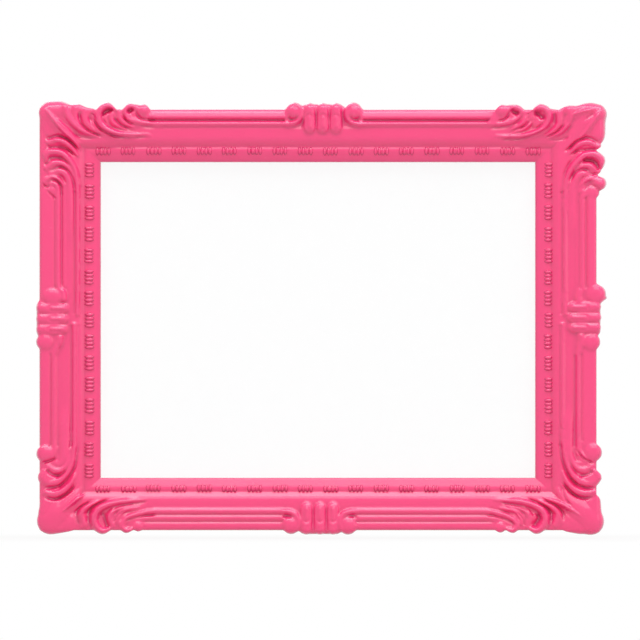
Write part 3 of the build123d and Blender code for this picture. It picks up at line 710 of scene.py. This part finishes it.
# Moulding mesh, in mm: columns run from the sight edge out to the silhouette, rows run round the frame
mould = dict(
    topStep=0.40, sideStep=0.30, plainStep=3.0,  # between columns
    ornament=49.0, sideOrnament=38.5, knuckle=19.0,  # lengths that have fine columns
    lipFoot=7.5,  # height at the sight edge where the lip's face begins
    lipRows=(0.006, 0.03, 0.06, 0.09, 0.11, 0.13, 0.15, 0.17, 0.19, 0.21, 0.23, 0.248, 0.264),  # shares
    carvedFrom=0.275, carvedRows=41, crowding=0.25,  # crowded towards the edge
    edgeRound=0.9, leftRound=1.4, draft=0.15,
    lobeReach=6.5, lobeStep=0.1, lobeExtra=0.15, lobeEase=0.5,  # how the silhouette is felt for
    # how the columns and the outline turn round a corner
    cornerTurn=10.0, cornerReach=14.0, cornerEase=4.0, cornerPull=0.5, diagonal=0.7071,
    wallRows=(0.12, 0.4, 0.7, 0.94), wallFoot=0.4, wallPaintedShade=-0.5,  # shares, foot and painted shade of the wall
    footRows=((0.12, 0.1), (0.35, 0.0)),  # inset and height of the rounded foot
    paintedLightDepth=0.9,  # relief that gets the full painted shade as a hollow and the full painted highlight as a crest
    weld=0.002,
    sweeps=dict(silhouette=2, corner=8, carving=2, shadeAndHighlight=14),  # rounds of smoothing; the last is for the measure behind the painted shade and highlight
)
# Photo slot in the top rail, the channel under it and the recess of the back plate, in mm
photoSlot = dict(
    half=91.2, channelHalf=90.7,  # half widths
    channelTop=4.6, plateFace=3.02,  # heights above the back plane
    rimX=107.0, rimZ=80.0,  # half sizes of the recess
    lapX=4.7, lapZ=3.0,  # how far the channel goes past the sight edge
    wallShare=0.0004,  # share of the rail's half length that an upright wall of the slot leans over
)


def spread(limit, ornament, fine):
    # places along a rail, as shares of its half length
    knuckle = mould["knuckle"]
    stops = [-limit, -limit + ornament, -knuckle, knuckle, limit - ornament, limit]
    steps = [fine, mould["plainStep"], mould["topStep"], mould["plainStep"], fine]
    runs = []
    for start, end, step in zip(stops[:-1], stops[1:], steps):
        runs.append(np.linspace(start, end, max(2, int(round((end - start) / step))), endpoint=False))
    return np.concatenate(runs) / limit


def smoothed(grid, weight):
    # each value shared with its neighbours, across the rows and then round the frame
    padded = np.vstack([grid[:1], grid, grid[-1:]])
    grid = (padded[:-2] + weight * padded[1:-1] + padded[2:]) / (weight + 2)
    return (np.roll(grid, 1, axis=1) + weight * grid + np.roll(grid, -1, axis=1)) / (weight + 2)


slotSide = photoSlot["half"] / rails["outerX"]
wall = photoSlot["wallShare"]
slotWalls = [-slotSide - wall, -slotSide + wall, slotSide - wall, slotSide + wall]
alongX = spread(rails["outerX"], mould["ornament"], mould["topStep"])
alongX = np.sort(np.concatenate([alongX, slotWalls]))
alongZ = spread(rails["outerZ"], mould["sideOrnament"], mould["sideStep"])
ring = np.concatenate([
    [(t, 1.0) for t in alongX],
    [(1.0, -t) for t in alongZ],
    [(-t, -1.0) for t in alongX],
    [(-1.0, t) for t in alongZ],
])  # clockwise from the top left, seen from the front
columns = len(ring)
onFlat = np.abs(ring[:, 1]) == 1.0
inner = ring * [rails["sightX"], rails["sightZ"]]
outer = ring * [rails["outerX"], rails["outerZ"]]
direction = outer - inner
reachOut = np.linalg.norm(direction, axis=1, keepdims=True)
direction = direction / reachOut
fromEnds = (1 - np.abs(ring)) * [rails["outerX"], rails["outerZ"]]
toCorner = np.where(onFlat, fromEnds[:, 0], fromEnds[:, 1])
turn = np.clip(1 - toCorner / mould["cornerTurn"], 0, 1)[:, None]
squareOn = np.where(onFlat[:, None], ring * [0, 1], ring * [1, 0])
outward = squareOn * (1 - turn) + np.sign(ring) * mould["diagonal"] * turn
outward = outward / np.linalg.norm(outward, axis=1, keepdims=True)

# Silhouette: how far the ridges carry each column past the rail's edge
probe = np.arange(0.0, mould["lobeReach"], mould["lobeStep"])
tests = (outer[:, None, :] + outward[:, None, :] * probe[None, :, None]).reshape(-1, 2)
covered = np.zeros(len(tests), bool)
for item in ridges:
    near, gap, half = footprint(tests, item)[:3]
    covered[near[gap < half]] = True
covered = covered.reshape(columns, -1)
covered[:, 0] = True
overhang = np.array([probe[column].max() for column in covered])
overhang = overhang + mould["lobeExtra"] * ramp(overhang, 0.0, mould["lobeEase"])
for sweep in range(mould["sweeps"]["silhouette"]):
    overhang = (np.roll(overhang, 1) + 2 * overhang + np.roll(overhang, -1)) / 4
print("columns:", columns, "largest overhang mm:", round(float(overhang.max()), 2))

footOut = outer + outward * overhang[:, None]  # silhouette at the back plane
nearCorner = ramp(mould["cornerReach"] - toCorner, 0.0, mould["cornerEase"])[:, None]
for sweep in range(mould["sweeps"]["corner"]):  # even out the turn round each corner
    between = (np.roll(footOut, 1, axis=0) + np.roll(footOut, -1, axis=0)) / 2
    footOut = footOut + mould["cornerPull"] * nearCorner * (between - footOut)
topOut = footOut - outward * mould["draft"]  # and at the top of the wall

carved = np.linspace(0, 1, mould["carvedRows"])
carved = (1 - mould["crowding"]) * carved + mould["crowding"] * np.sin(carved * math.pi / 2)
carvedStart = inner + direction * reachOut * mould["carvedFrom"]
lipRows = [inner + direction * reachOut * share for share in mould["lipRows"]]
carvedRows = [carvedStart + (topOut - carvedStart) * t for t in carved]
rowPoints = np.array(lipRows + carvedRows)
heights = carvedHeight(rowPoints.reshape(-1, 2)).reshape(rowPoints.shape[:2])

# Take the grid's stairs out of the carving, and round the edge over
firstCarved = len(lipRows)
for sweep in range(mould["sweeps"]["carving"]):
    heights[firstCarved:] = smoothed(heights[firstCarved:], weight=4)
edgeGap = np.linalg.norm(rowPoints - topOut[None], axis=2)
rounding = np.where(ring[:, 0] == -1.0, mould["leftRound"], mould["edgeRound"])
bite = np.clip(1 - edgeGap / rounding, 0, 1)
drop = rounding * (1 - np.sqrt(np.clip(1 - bite ** 2, 0, 1)))
heights[firstCarved:] -= drop[firstCarved:]

# How hollow each place is, for the painted shade in the hollows and the painted highlight on the crests
soft = heights
for sweep in range(mould["sweeps"]["shadeAndHighlight"]):
    soft = smoothed(soft, weight=2)
relief = heights - soft

rows = []
reliefRows = []


# the last value sets the row's painted shade and highlight
def addRow(points, height, paintedRelief=0.0):
    rows.append(np.column_stack([points[:, 0], -np.broadcast_to(height, columns), points[:, 1]]))
    reliefRows.append(np.broadcast_to(paintedRelief, columns))


across = np.abs(outer[:, 0])
topRail = ring[:, 1] == 1.0
overSlot = topRail & (across < photoSlot["half"])
backLevel = np.where(overSlot, photoSlot["channelTop"], 0.0)
plateLevel = np.where(overSlot, photoSlot["channelTop"], photoSlot["plateFace"])
addRow(inner, photoSlot["channelTop"])
addRow(inner, mould["lipFoot"])
for points, height, paintedRelief in zip(rowPoints, heights, relief):
    addRow(points, height, paintedRelief)
# the wall rows carry a fixed painted shade
for t in mould["wallRows"]:
    wallHeight = heights[-1] * (1 - t) + (backLevel + mould["wallFoot"]) * t
    addRow(topOut + (footOut - topOut) * t, wallHeight, mould["wallPaintedShade"])
for inset, rise in mould["footRows"]:
    addRow(footOut - outward * inset, backLevel + rise)

# Back: the rim, the plate's recess and the channel; over the slot they lie on one level
rimX = (photoSlot["rimX"] - rails["sightX"]) / sideWide
rimZ = (photoSlot["rimZ"] - rails["sightZ"]) / flatWide
rimPoints = inner + direction * reachOut * np.where(onFlat, rimZ, rimX)[:, None]
lapShare = np.where(onFlat, photoSlot["lapZ"] / flatWide, photoSlot["lapX"] / sideWide)
lapPoints = inner + direction * reachOut * lapShare[:, None]
beside = np.clip((across - photoSlot["half"]) / (rails["outerX"] - photoSlot["half"]), 0, 1)
rimAcross = np.minimum(across, photoSlot["half"]) + beside * (np.abs(rimPoints[0, 0]) - photoSlot["half"])
lapAcross = np.minimum(across / photoSlot["half"], 1.0) * photoSlot["channelHalf"]
rimPoints[topRail, 0] = (np.sign(outer[:, 0]) * rimAcross)[topRail]  # the slot's sides stand square
lapPoints[topRail, 0] = (np.sign(outer[:, 0]) * lapAcross)[topRail]
addRow(rimPoints, backLevel)
addRow(rimPoints, plateLevel)
addRow(lapPoints, plateLevel)
addRow(lapPoints, photoSlot["channelTop"])
sharpRows = [0, 1] + list(range(len(rows) - 4, len(rows)))  # the sight edge and the rows of the back


def meshFromGrid(name, grid, sharp):
    # a closed tube of rows and columns, with some rows kept as hard edges
    count = len(grid)
    wide = len(grid[0])
    verts = np.concatenate(grid) * mm
    index = np.arange(count * wide).reshape(count, wide)
    nextRow = np.roll(index, -1, axis=0)
    quads = np.stack([index, np.roll(index, -1, axis=1), np.roll(nextRow, -1, axis=1), nextRow], axis=-1)
    quads = quads.reshape(-1, 4)
    mesh = bpy.data.meshes.new(name)
    mesh.vertices.add(len(verts))
    mesh.vertices.foreach_set("co", verts.ravel())
    mesh.loops.add(len(quads) * 4)
    mesh.loops.foreach_set("vertex_index", quads.ravel())
    mesh.polygons.add(len(quads))
    mesh.polygons.foreach_set("loop_start", np.arange(len(quads)) * 4)
    mesh.polygons.foreach_set("use_smooth", np.ones(len(quads), bool))
    mesh.update(calc_edges=True)
    edges = np.zeros(len(mesh.edges) * 2, int)
    mesh.edges.foreach_get("vertices", edges)
    edgeRow = edges.reshape(-1, 2) // wide
    hard = (edgeRow[:, 0] == edgeRow[:, 1]) & np.isin(edgeRow[:, 0], sharp)
    mesh.attributes.new("sharp_edge", "BOOLEAN", "EDGE").data.foreach_set("value", hard)
    obj = bpy.data.objects.new(name, mesh)
    scene.collection.objects.link(obj)
    return obj


moulding = meshFromGrid("frontMoulding", rows, sharpRows)
# the relief as a tone for the paint: below nought it gives painted shade, above it a painted highlight
tone = np.clip(np.concatenate(reliefRows) / mould["paintedLightDepth"], -1, 1).astype(np.float32)
moulding.data.attributes.new("relief", "FLOAT", "POINT").data.foreach_set("value", tone)
joined = bmesh.new()
joined.from_mesh(moulding.data)
weld = mould["weld"] * mm
bmesh.ops.remove_doubles(joined, verts=joined.verts, dist=weld)  # rows that meet over the slot
joined.to_mesh(moulding.data)
joined.free()
print("moulding faces:", len(moulding.data.polygons))


# Shader values: arithmetic on a socket adds the Math node for it
class Val:
    def __init__(self, tree, socket):
        self.tree = tree
        self.socket = socket

    def math(self, operation, other=None, swap=False, clamp=False):
        node = self.tree.nodes.new("ShaderNodeMath")
        node.operation = operation
        node.use_clamp = clamp
        pair = (other, self) if swap else (self, other)
        for socket, value in zip(node.inputs, pair):
            if value is not None:
                feed(self.tree, socket, value)
        return Val(self.tree, node.outputs[0])

    def __add__(self, other):
        return self.math("ADD", other)

    def __radd__(self, other):
        return self.math("ADD", other, swap=True)

    def __sub__(self, other):
        return self.math("SUBTRACT", other)

    def __rsub__(self, other):
        return self.math("SUBTRACT", other, swap=True)

    def __mul__(self, other):
        return self.math("MULTIPLY", other)

    def __rmul__(self, other):
        return self.math("MULTIPLY", other, swap=True)

    def __gt__(self, other):
        return self.math("GREATER_THAN", other)

    def clamp(self):
        return self.math("ADD", 0.0, clamp=True)


def feed(tree, socket, value):
    # a link where the value comes from a node, or else the plain number or colour
    if isinstance(value, Val):
        tree.links.new(value.socket, socket)
    else:
        socket.default_value = value


class Finish:
    def __init__(self, name):
        self.material = bpy.data.materials.new(name)
        self.material.use_nodes = True
        self.tree = self.material.node_tree
        self.shader = self.tree.nodes["Principled BSDF"]
        self.coords = self.add("ShaderNodeTexCoord", out="Object")

    def add(self, kind, settings=None, inputs=None, out=0):
        node = self.tree.nodes.new(kind)
        for key, value in (settings or {}).items():
            setattr(node, key, value)
        for key, value in (inputs or {}).items():
            feed(self.tree, node.inputs[key], value)
        return Val(self.tree, node.outputs[out])

    def noise(self, scale, detail=2.0, rough=0.5):
        inputs = {"Vector": self.coords, "Scale": scale, "Detail": detail, "Roughness": rough}
        return self.add("ShaderNodeTexNoise", inputs=inputs)

    def mix(self, factor, first, second):
        return self.add("ShaderNodeMix", {"data_type": "RGBA"}, {0: factor, 6: first, 7: second}, out=2)

    def set(self, **sockets):
        for key, value in sockets.items():
            feed(self.tree, self.shader.inputs[key.replace("_", " ")], value)

    def bump(self, height, distance, strength):
        inputs = {"Height": height, "Distance": distance, "Strength": strength}
        self.set(Normal=self.add("ShaderNodeBump", inputs=inputs))


# Moulding: glossy pink plastic with random paler patches, painted shade in the hollows and a painted
# highlight on the crests
pinkPaint = dict(
    # the second colour is painted shade for the hollows; the third is the paler tone of the random patches
    # and also the painted highlight on the crests
    body=(0.985, 0.041, 0.210, 1), deep=(0.64, 0.026, 0.148, 1), crest=(1.0, 0.058, 0.240, 1),
    speck=(1.0, 0.30, 0.45, 1), roughness=0.19, coat=0.75, coatRoughness=0.10, ior=1.46,
    patchScale=55, peelScale=1500, rippleScale=210, speckScale=700, speckAbove=0.76,
    patchFrom=0.35, patchShare=0.35, paintedShadeShare=0.8, paintedHighlightShare=0.35, speckShare=0.05,
    patchRough=0.14, rippleRough=0.05, rippleCoat=0.2, peelShare=0.25, bumpDepth=0.00003, bumpStrength=0.7,
)


def makePink(name, paint):
    pink = Finish(name)
    patch = pink.noise(paint["patchScale"], detail=3)
    peel = pink.noise(paint["peelScale"])
    ripple = pink.noise(paint["rippleScale"])
    speck = pink.noise(paint["speckScale"], detail=1) > paint["speckAbove"]
    # the relief drives the painted shade in the hollows and the painted highlight on the crests
    shadeAndHighlightMask = pink.add("ShaderNodeAttribute", {"attribute_name": "relief"}, out="Fac")
    paler = (patch - paint["patchFrom"]).clamp() * paint["patchShare"]
    colour = pink.mix(paler, paint["body"], paint["crest"])
    # painted shade: the hollows turn to the darker colour
    colour = pink.mix((shadeAndHighlightMask * -1.0).clamp() * paint["paintedShadeShare"], colour, paint["deep"])
    # painted highlight: the crests turn to the paler colour
    colour = pink.mix(shadeAndHighlightMask.clamp() * paint["paintedHighlightShare"], colour, paint["crest"])
    colour = pink.mix(speck * paint["speckShare"], colour, paint["speck"])
    roughness = paint["roughness"] + paint["patchRough"] * patch - paint["rippleRough"] * ripple
    coat = paint["coat"] + paint["rippleCoat"] * ripple
    pink.set(Base_Color=colour, Roughness=roughness, IOR=paint["ior"])
    pink.set(Coat_Weight=coat, Coat_Roughness=paint["coatRoughness"])
    pink.bump(peel * paint["peelShare"] + ripple, paint["bumpDepth"], paint["bumpStrength"])
    return pink.material


pinkMoulding = makePink("pinkMoulding", pinkPaint)
moulding.data.materials.append(pinkMoulding)

# Bead row: groups of short strokes on the step, each group on a low pad, by Geometry Nodes; sizes in mm
beads = dict(
    flatGroups=18, flatPitch=10.0, sideGroups=15, sidePitch=8.5, count=4, pitch=1.5, width=1.68,
    rise=1.45, padLength=7.3, padRise=0.98, padShare=0.87, level=9.14, tilt=6.0,
    share=dict(top=0.207, bottom=0.198, left=0.184, right=0.208),
    length=dict(top=3.5, bottom=2.9, left=4.0, right=3.5),
    segments=14, rings=10,
    shadeAndHighlight=(-5.0, -4.4),  # slope and offset of the relief that paints each bead: a painted highlight at its crest and painted shade down to its foot
    smallest=(0.97, 0.93, 0.97), largest=(1.03, 1.05, 1.03), loose=0.18,  # how the groups vary
)


def beadTree():
    tree = bpy.data.node_groups.new("beadRow", "GeometryNodeTree")
    tree.interface.new_socket("Geometry", in_out="OUTPUT", socket_type="NodeSocketGeometry")
    sockets = dict(
        Int=("Groups", "Beads", "Seed"),
        Vector=("Start", "Group Step", "Bead Start", "Bead Step", "Bead Size", "Pad Size", "Tilt"),
        Material=("Paint",),
    )
    for kind, names in sockets.items():
        for name in names:
            tree.interface.new_socket(name, in_out="INPUT", socket_type="NodeSocket" + kind)
    given = tree.nodes.new("NodeGroupInput").outputs

    def add(kind, inputs=None, out=0, **settings):
        node = tree.nodes.new(kind)
        for key, value in settings.items():
            setattr(node, key, value)
        for key, value in (inputs or {}).items():
            if isinstance(value, bpy.types.NodeSocket):
                tree.links.new(value, node.inputs[key])
            else:
                node.inputs[key].default_value = value
        return node.outputs[out]

    def line(count, start, step):
        return add("GeometryNodeMeshLine", {"Count": count, "Start Location": start, "Offset": step})

    def between(low, high):
        inputs = {0: low, 1: high, "Seed": given["Seed"]}
        return add("FunctionNodeRandomValue", inputs, data_type="FLOAT_VECTOR")

    sphere = {"Segments": beads["segments"], "Rings": beads["rings"], "Radius": 1.0}
    sphere = add("GeometryNodeMeshUVSphere", sphere)
    outwards = add("ShaderNodeSeparateXYZ", {0: add("GeometryNodeInputPosition")}, out="Y")
    # painted highlight at the front of each bead, painted shade over the rest down to its foot
    shadeAndHighlight = {0: outwards, 1: beads["shadeAndHighlight"][0], 2: beads["shadeAndHighlight"][1]}
    shadeAndHighlight = add("ShaderNodeMath", shadeAndHighlight, operation="MULTIPLY_ADD")
    ball = add("GeometryNodeStoreNamedAttribute", {"Geometry": sphere, "Name": "relief", "Value": shadeAndHighlight})

    def shaped(points, size):
        inputs = {"Points": points, "Instance": ball, "Rotation": given["Tilt"], "Scale": size}
        return add("GeometryNodeInstanceOnPoints", inputs)

    strokes = shaped(line(given["Beads"], given["Bead Start"], given["Bead Step"]), given["Bead Size"])
    pad = shaped(add("GeometryNodeMeshLine", {"Count": 1}), given["Pad Size"])
    together = add("GeometryNodeJoinGeometry", {0: strokes})
    tree.links.new(pad, together.node.inputs[0])
    group = add("GeometryNodeGeometryToInstance", {0: together})
    spots = line(given["Groups"], given["Start"], given["Group Step"])
    loose = beads["loose"] * mm
    shift = between((-loose, 0, -loose), (loose, 0, loose))
    spots = add("GeometryNodeSetPosition", {"Geometry": spots, "Offset": shift})
    scale = between(beads["smallest"], beads["largest"])
    groups = add("GeometryNodeInstanceOnPoints", {"Points": spots, "Instance": group, "Scale": scale})
    solid = add("GeometryNodeRealizeInstances", {"Geometry": groups})
    smooth = add("GeometryNodeSetShadeSmooth", {"Geometry": solid})
    painted = add("GeometryNodeSetMaterial", {"Geometry": smooth, "Material": given["Paint"]})
    tree.links.new(painted, tree.nodes.new("NodeGroupOutput").inputs["Geometry"])
    return tree


def runTree(name, tree, values):
    carrier = bpy.data.objects.new(name + "Carrier", bpy.data.meshes.new(name + "Carrier"))
    scene.collection.objects.link(carrier)
    modifier = carrier.modifiers.new("nodes", "NODES")
    modifier.node_group = tree
    ids = {item.name: item.identifier for item in tree.interface.items_tree if item.in_out == "INPUT"}
    for key, value in values.items():
        modifier[ids[key]] = value
    bpy.context.view_layer.update()
    depsgraph = bpy.context.evaluated_depsgraph_get()
    mesh = bpy.data.meshes.new_from_object(carrier.evaluated_get(depsgraph))
    bpy.data.objects.remove(carrier)
    obj = bpy.data.objects.new(name, mesh)
    scene.collection.objects.link(obj)
    return obj


def beadRow(tree, side, sign, seed):
    upright = side in ("left", "right")
    sight, wide = (rails["sightX"], sideWide) if upright else (rails["sightZ"], flatWide)
    groups = beads["sideGroups" if upright else "flatGroups"]
    groupPitch = beads["sidePitch" if upright else "flatPitch"]
    length = beads["length"][side]
    tilt = sign * math.radians(beads["tilt"])

    def turned(along, out, over):
        # along the rail, out from the back plane and over the rail's width
        return (over * mm, out * mm, along * mm) if upright else (along * mm, out * mm, over * mm)

    return runTree("beadRow" + side.capitalize(), tree, {
        "Groups": groups,
        "Beads": beads["count"],
        "Seed": seed,
        "Start": turned(
            -(groups - 1) / 2 * groupPitch, -beads["level"], sign * (sight + beads["share"][side] * wide)
        ),
        "Group Step": turned(groupPitch, 0, 0),
        "Bead Start": turned(-(beads["count"] - 1) / 2 * beads["pitch"], 0, 0),
        "Bead Step": turned(beads["pitch"], 0, 0),
        "Bead Size": turned(beads["width"] / 2, beads["rise"], length / 2),
        "Pad Size": turned(beads["padLength"] / 2, beads["padRise"], beads["padShare"] * length / 2),
        "Tilt": (0, 0, -tilt) if upright else (tilt, 0, 0),
        "Paint": pinkMoulding,
    })


strokeTree = beadTree()
beadPieces = [
    beadRow(strokeTree, "top", sign=1, seed=3),
    beadRow(strokeTree, "bottom", sign=-1, seed=5),
    beadRow(strokeTree, "left", sign=-1, seed=7),
    beadRow(strokeTree, "right", sign=1, seed=11),
]
print("bead faces:", sum(len(piece.data.polygons) for piece in beadPieces))

# Back plate: matt moulded plastic with a fine grain and flow marks
plateLook = dict(
    dark=(0.80, 0.045, 0.16, 1), light=(0.93, 0.075, 0.22, 1), roughness=0.5, scuffRough=0.2, ior=1.46,
    grainScale=2600, flowScale=38, scuffScale=420, scuffPatch=60,
    flowBump=0.5, bumpDepth=0.00005, bumpStrength=0.6,
)
plate = Finish("pinkPlate")
grain = plate.noise(plateLook["grainScale"])
flow = plate.noise(plateLook["flowScale"], detail=4, rough=0.6)
scuff = plate.noise(plateLook["scuffScale"], detail=3) * plate.noise(plateLook["scuffPatch"])
plate.set(Base_Color=plate.mix(flow, plateLook["dark"], plateLook["light"]), IOR=plateLook["ior"])
plate.set(Roughness=plateLook["roughness"] + plateLook["scuffRough"] * scuff)
plate.bump(grain + plateLook["flowBump"] * flow, plateLook["bumpDepth"], plateLook["bumpStrength"])

# Disc magnets: nickel plate with a fine grain and dull clouds
nickelLook = dict(
    dark=(0.52, 0.51, 0.48, 1), light=(0.72, 0.71, 0.68, 1), roughness=0.2, cloudRough=0.22, grainRough=0.1,
    grainScale=1800, cloudScale=130, bumpDepth=0.00002, bumpStrength=0.5,
)
nickel = Finish("nickelPlate")
fleck = nickel.noise(nickelLook["grainScale"], detail=3)
cloud = nickel.noise(nickelLook["cloudScale"], detail=3)
nickel.set(Base_Color=nickel.mix(cloud, nickelLook["dark"], nickelLook["light"]), Metallic=1.0)
dull = nickelLook["cloudRough"] * cloud + nickelLook["grainRough"] * fleck
nickel.set(Roughness=nickelLook["roughness"] + dull)
nickel.bump(fleck, nickelLook["bumpDepth"], nickelLook["bumpStrength"])

# Screws: zinc plate
zincLook = dict(
    dark=(0.46, 0.46, 0.47, 1), light=(0.68, 0.69, 0.70, 1), roughness=0.25, spangleRough=0.25,
    spangleScale=900, bumpDepth=0.00002, bumpStrength=0.5,
)
zinc = Finish("zincPlate")
spangle = zinc.noise(zincLook["spangleScale"], detail=3)
zinc.set(Base_Color=zinc.mix(spangle, zincLook["dark"], zincLook["light"]), Metallic=1.0)
zinc.set(Roughness=zincLook["roughness"] + zincLook["spangleRough"] * spangle)
zinc.bump(spangle, zincLook["bumpDepth"], zincLook["bumpStrength"])

# Window: clear sheet with a trace of smears
clearLook = dict(
    colour=(0.98, 0.99, 1.0, 1), roughness=0.03, alpha=0.05, ior=1.45,
    smearScale=45, smearRough=0.08, smearAlpha=0.02,
)
clear = Finish("clearSheet")
smear = clear.noise(clearLook["smearScale"], detail=4, rough=0.65)
clear.set(Base_Color=clearLook["colour"], IOR=clearLook["ior"])
clear.set(Roughness=clearLook["roughness"] + clearLook["smearRough"] * smear)
clear.set(Alpha=clearLook["alpha"] + clearLook["smearAlpha"] * smear)
clear.material.surface_render_method = "BLENDED"

finishes = dict(back_plate=plate, photo_window=clear, back_screws=zinc)
finishes.update({nodeName: nickel for nodeName in nodes if nodeName.startswith("magnet_")})
for nodeName, finish in finishes.items():
    materials = nodes[nodeName].data.materials
    materials.clear()
    materials.append(finish.material)
print("finishes set on", len(finishes), "nodes")

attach(moulding, "frame")
for piece in beadPieces:
    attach(piece, "frame")
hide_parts("front_moulding")

# Camera square on to the frame, as the photograph; in metres, and the sensor in mm
view = dict(
    distance=5.0, middleX=0.0008, middleZ=0.0, width=0.2534, planeY=-0.004, sensor=36.0, clip=(0.01, 50),
)
camera = bpy.data.objects.new("camera", bpy.data.cameras.new("camera"))
camera.data.sensor_width = view["sensor"]
camera.data.lens = view["sensor"] * (view["distance"] + view["planeY"]) / view["width"]
camera.data.clip_start = view["clip"][0]
camera.data.clip_end = view["clip"][1]
camera.location = (view["middleX"], -view["distance"], view["middleZ"])
camera.rotation_euler = (math.pi / 2, 0, 0)
scene.collection.objects.link(camera)
scene.camera = camera

# Soft studio light: a wide key from above, a broad fill from the upper front, a weak lamp at the right
# and one behind, for the back
lamps = dict(
    key=dict(at=(0.15, -0.36, 1.0), wide=2.2, deep=0.42, power=8.6),
    side=dict(at=(1.0, -0.6, 0.25), wide=0.6, deep=0.6, power=0.5),
    fill=dict(at=(0.35, -1.2, 1.15), wide=1.4, deep=1.2, power=8.2),
    back=dict(at=(-0.6, 1.5, 0.8), wide=1.2, deep=1.2, power=4.0),
)
for lampName, lamp in lamps.items():
    light = bpy.data.lights.new(lampName, "AREA")
    light.shape = "RECTANGLE"
    light.size = lamp["wide"]
    light.size_y = lamp["deep"]
    light.energy = lamp["power"]
    stand = bpy.data.objects.new(lampName, light)
    stand.location = lamp["at"]
    stand.rotation_euler = (-Vector(lamp["at"])).to_track_quat("-Z", "Y").to_euler()
    scene.collection.objects.link(stand)


def seenPlain(tree):
    # 1 for what the camera, a reflection or clear plastic shows, 0 for the light itself
    path = tree.nodes.new("ShaderNodeLightPath").outputs
    direct = Val(tree, path["Is Camera Ray"])
    mirrored = Val(tree, path["Is Glossy Ray"])
    through = Val(tree, path["Is Transmission Ray"])
    return (direct + mirrored + through).clamp()


# Room: even white light, seen as plain white
room = dict(light=0.535, colour=(1.0, 1.0, 1.0, 1))
world = bpy.data.worlds.new("room")
scene.world = world
world.use_nodes = True
background = world.node_tree.nodes["Background"]
background.inputs["Color"].default_value = room["colour"]
strength = seenPlain(world.node_tree) * (1.0 - room["light"]) + room["light"]
world.node_tree.links.new(strength.socket, background.inputs["Strength"])

# Floor: pale and plain, faintly shadowed near the frame and lost in white further off; metres
floorLook = dict(
    half=12, gap=0.0004, colour=(0.60, 0.59, 0.585, 1), roughness=0.9, white=(1, 1, 1, 1),
    shadowFrom=0.03, shadowFade=12.0, shadowShare=0.10, whiteShare=0.90,
)
low = cadBox[0][2] - floorLook["gap"]
far = floorLook["half"]
corners = [(-far, -far, low), (far, -far, low), (far, far, low), (-far, far, low)]
floorMesh = bpy.data.meshes.new("floor")
floorMesh.from_pydata(corners, [], [(0, 1, 2, 3)])
floor = bpy.data.objects.new("floor", floorMesh)
scene.collection.objects.link(floor)
pale = Finish("paleFloor")
away = pale.add("ShaderNodeSeparateXYZ", inputs={0: pale.coords}, out="Y").math("ABSOLUTE")
fade = ((away - floorLook["shadowFrom"]) * floorLook["shadowFade"]).clamp() * floorLook["shadowShare"]
factor = (fade + floorLook["whiteShare"]) * seenPlain(pale.tree)
plain = pale.add("ShaderNodeEmission", inputs={"Color": floorLook["white"], "Strength": 1.0})
shaded = Val(pale.tree, pale.shader.outputs[0])
blend = pale.add("ShaderNodeMixShader", inputs={0: factor, 1: shaded, 2: plain})
pale.set(Base_Color=floorLook["colour"], Roughness=floorLook["roughness"])
pale.tree.links.new(blend.socket, pale.tree.nodes["Material Output"].inputs["Surface"])
floor.data.materials.append(pale.material)
print("camera, floor and", len(lamps), "lamps set")

scene.view_settings.view_transform = "Standard"
print("scene ready")
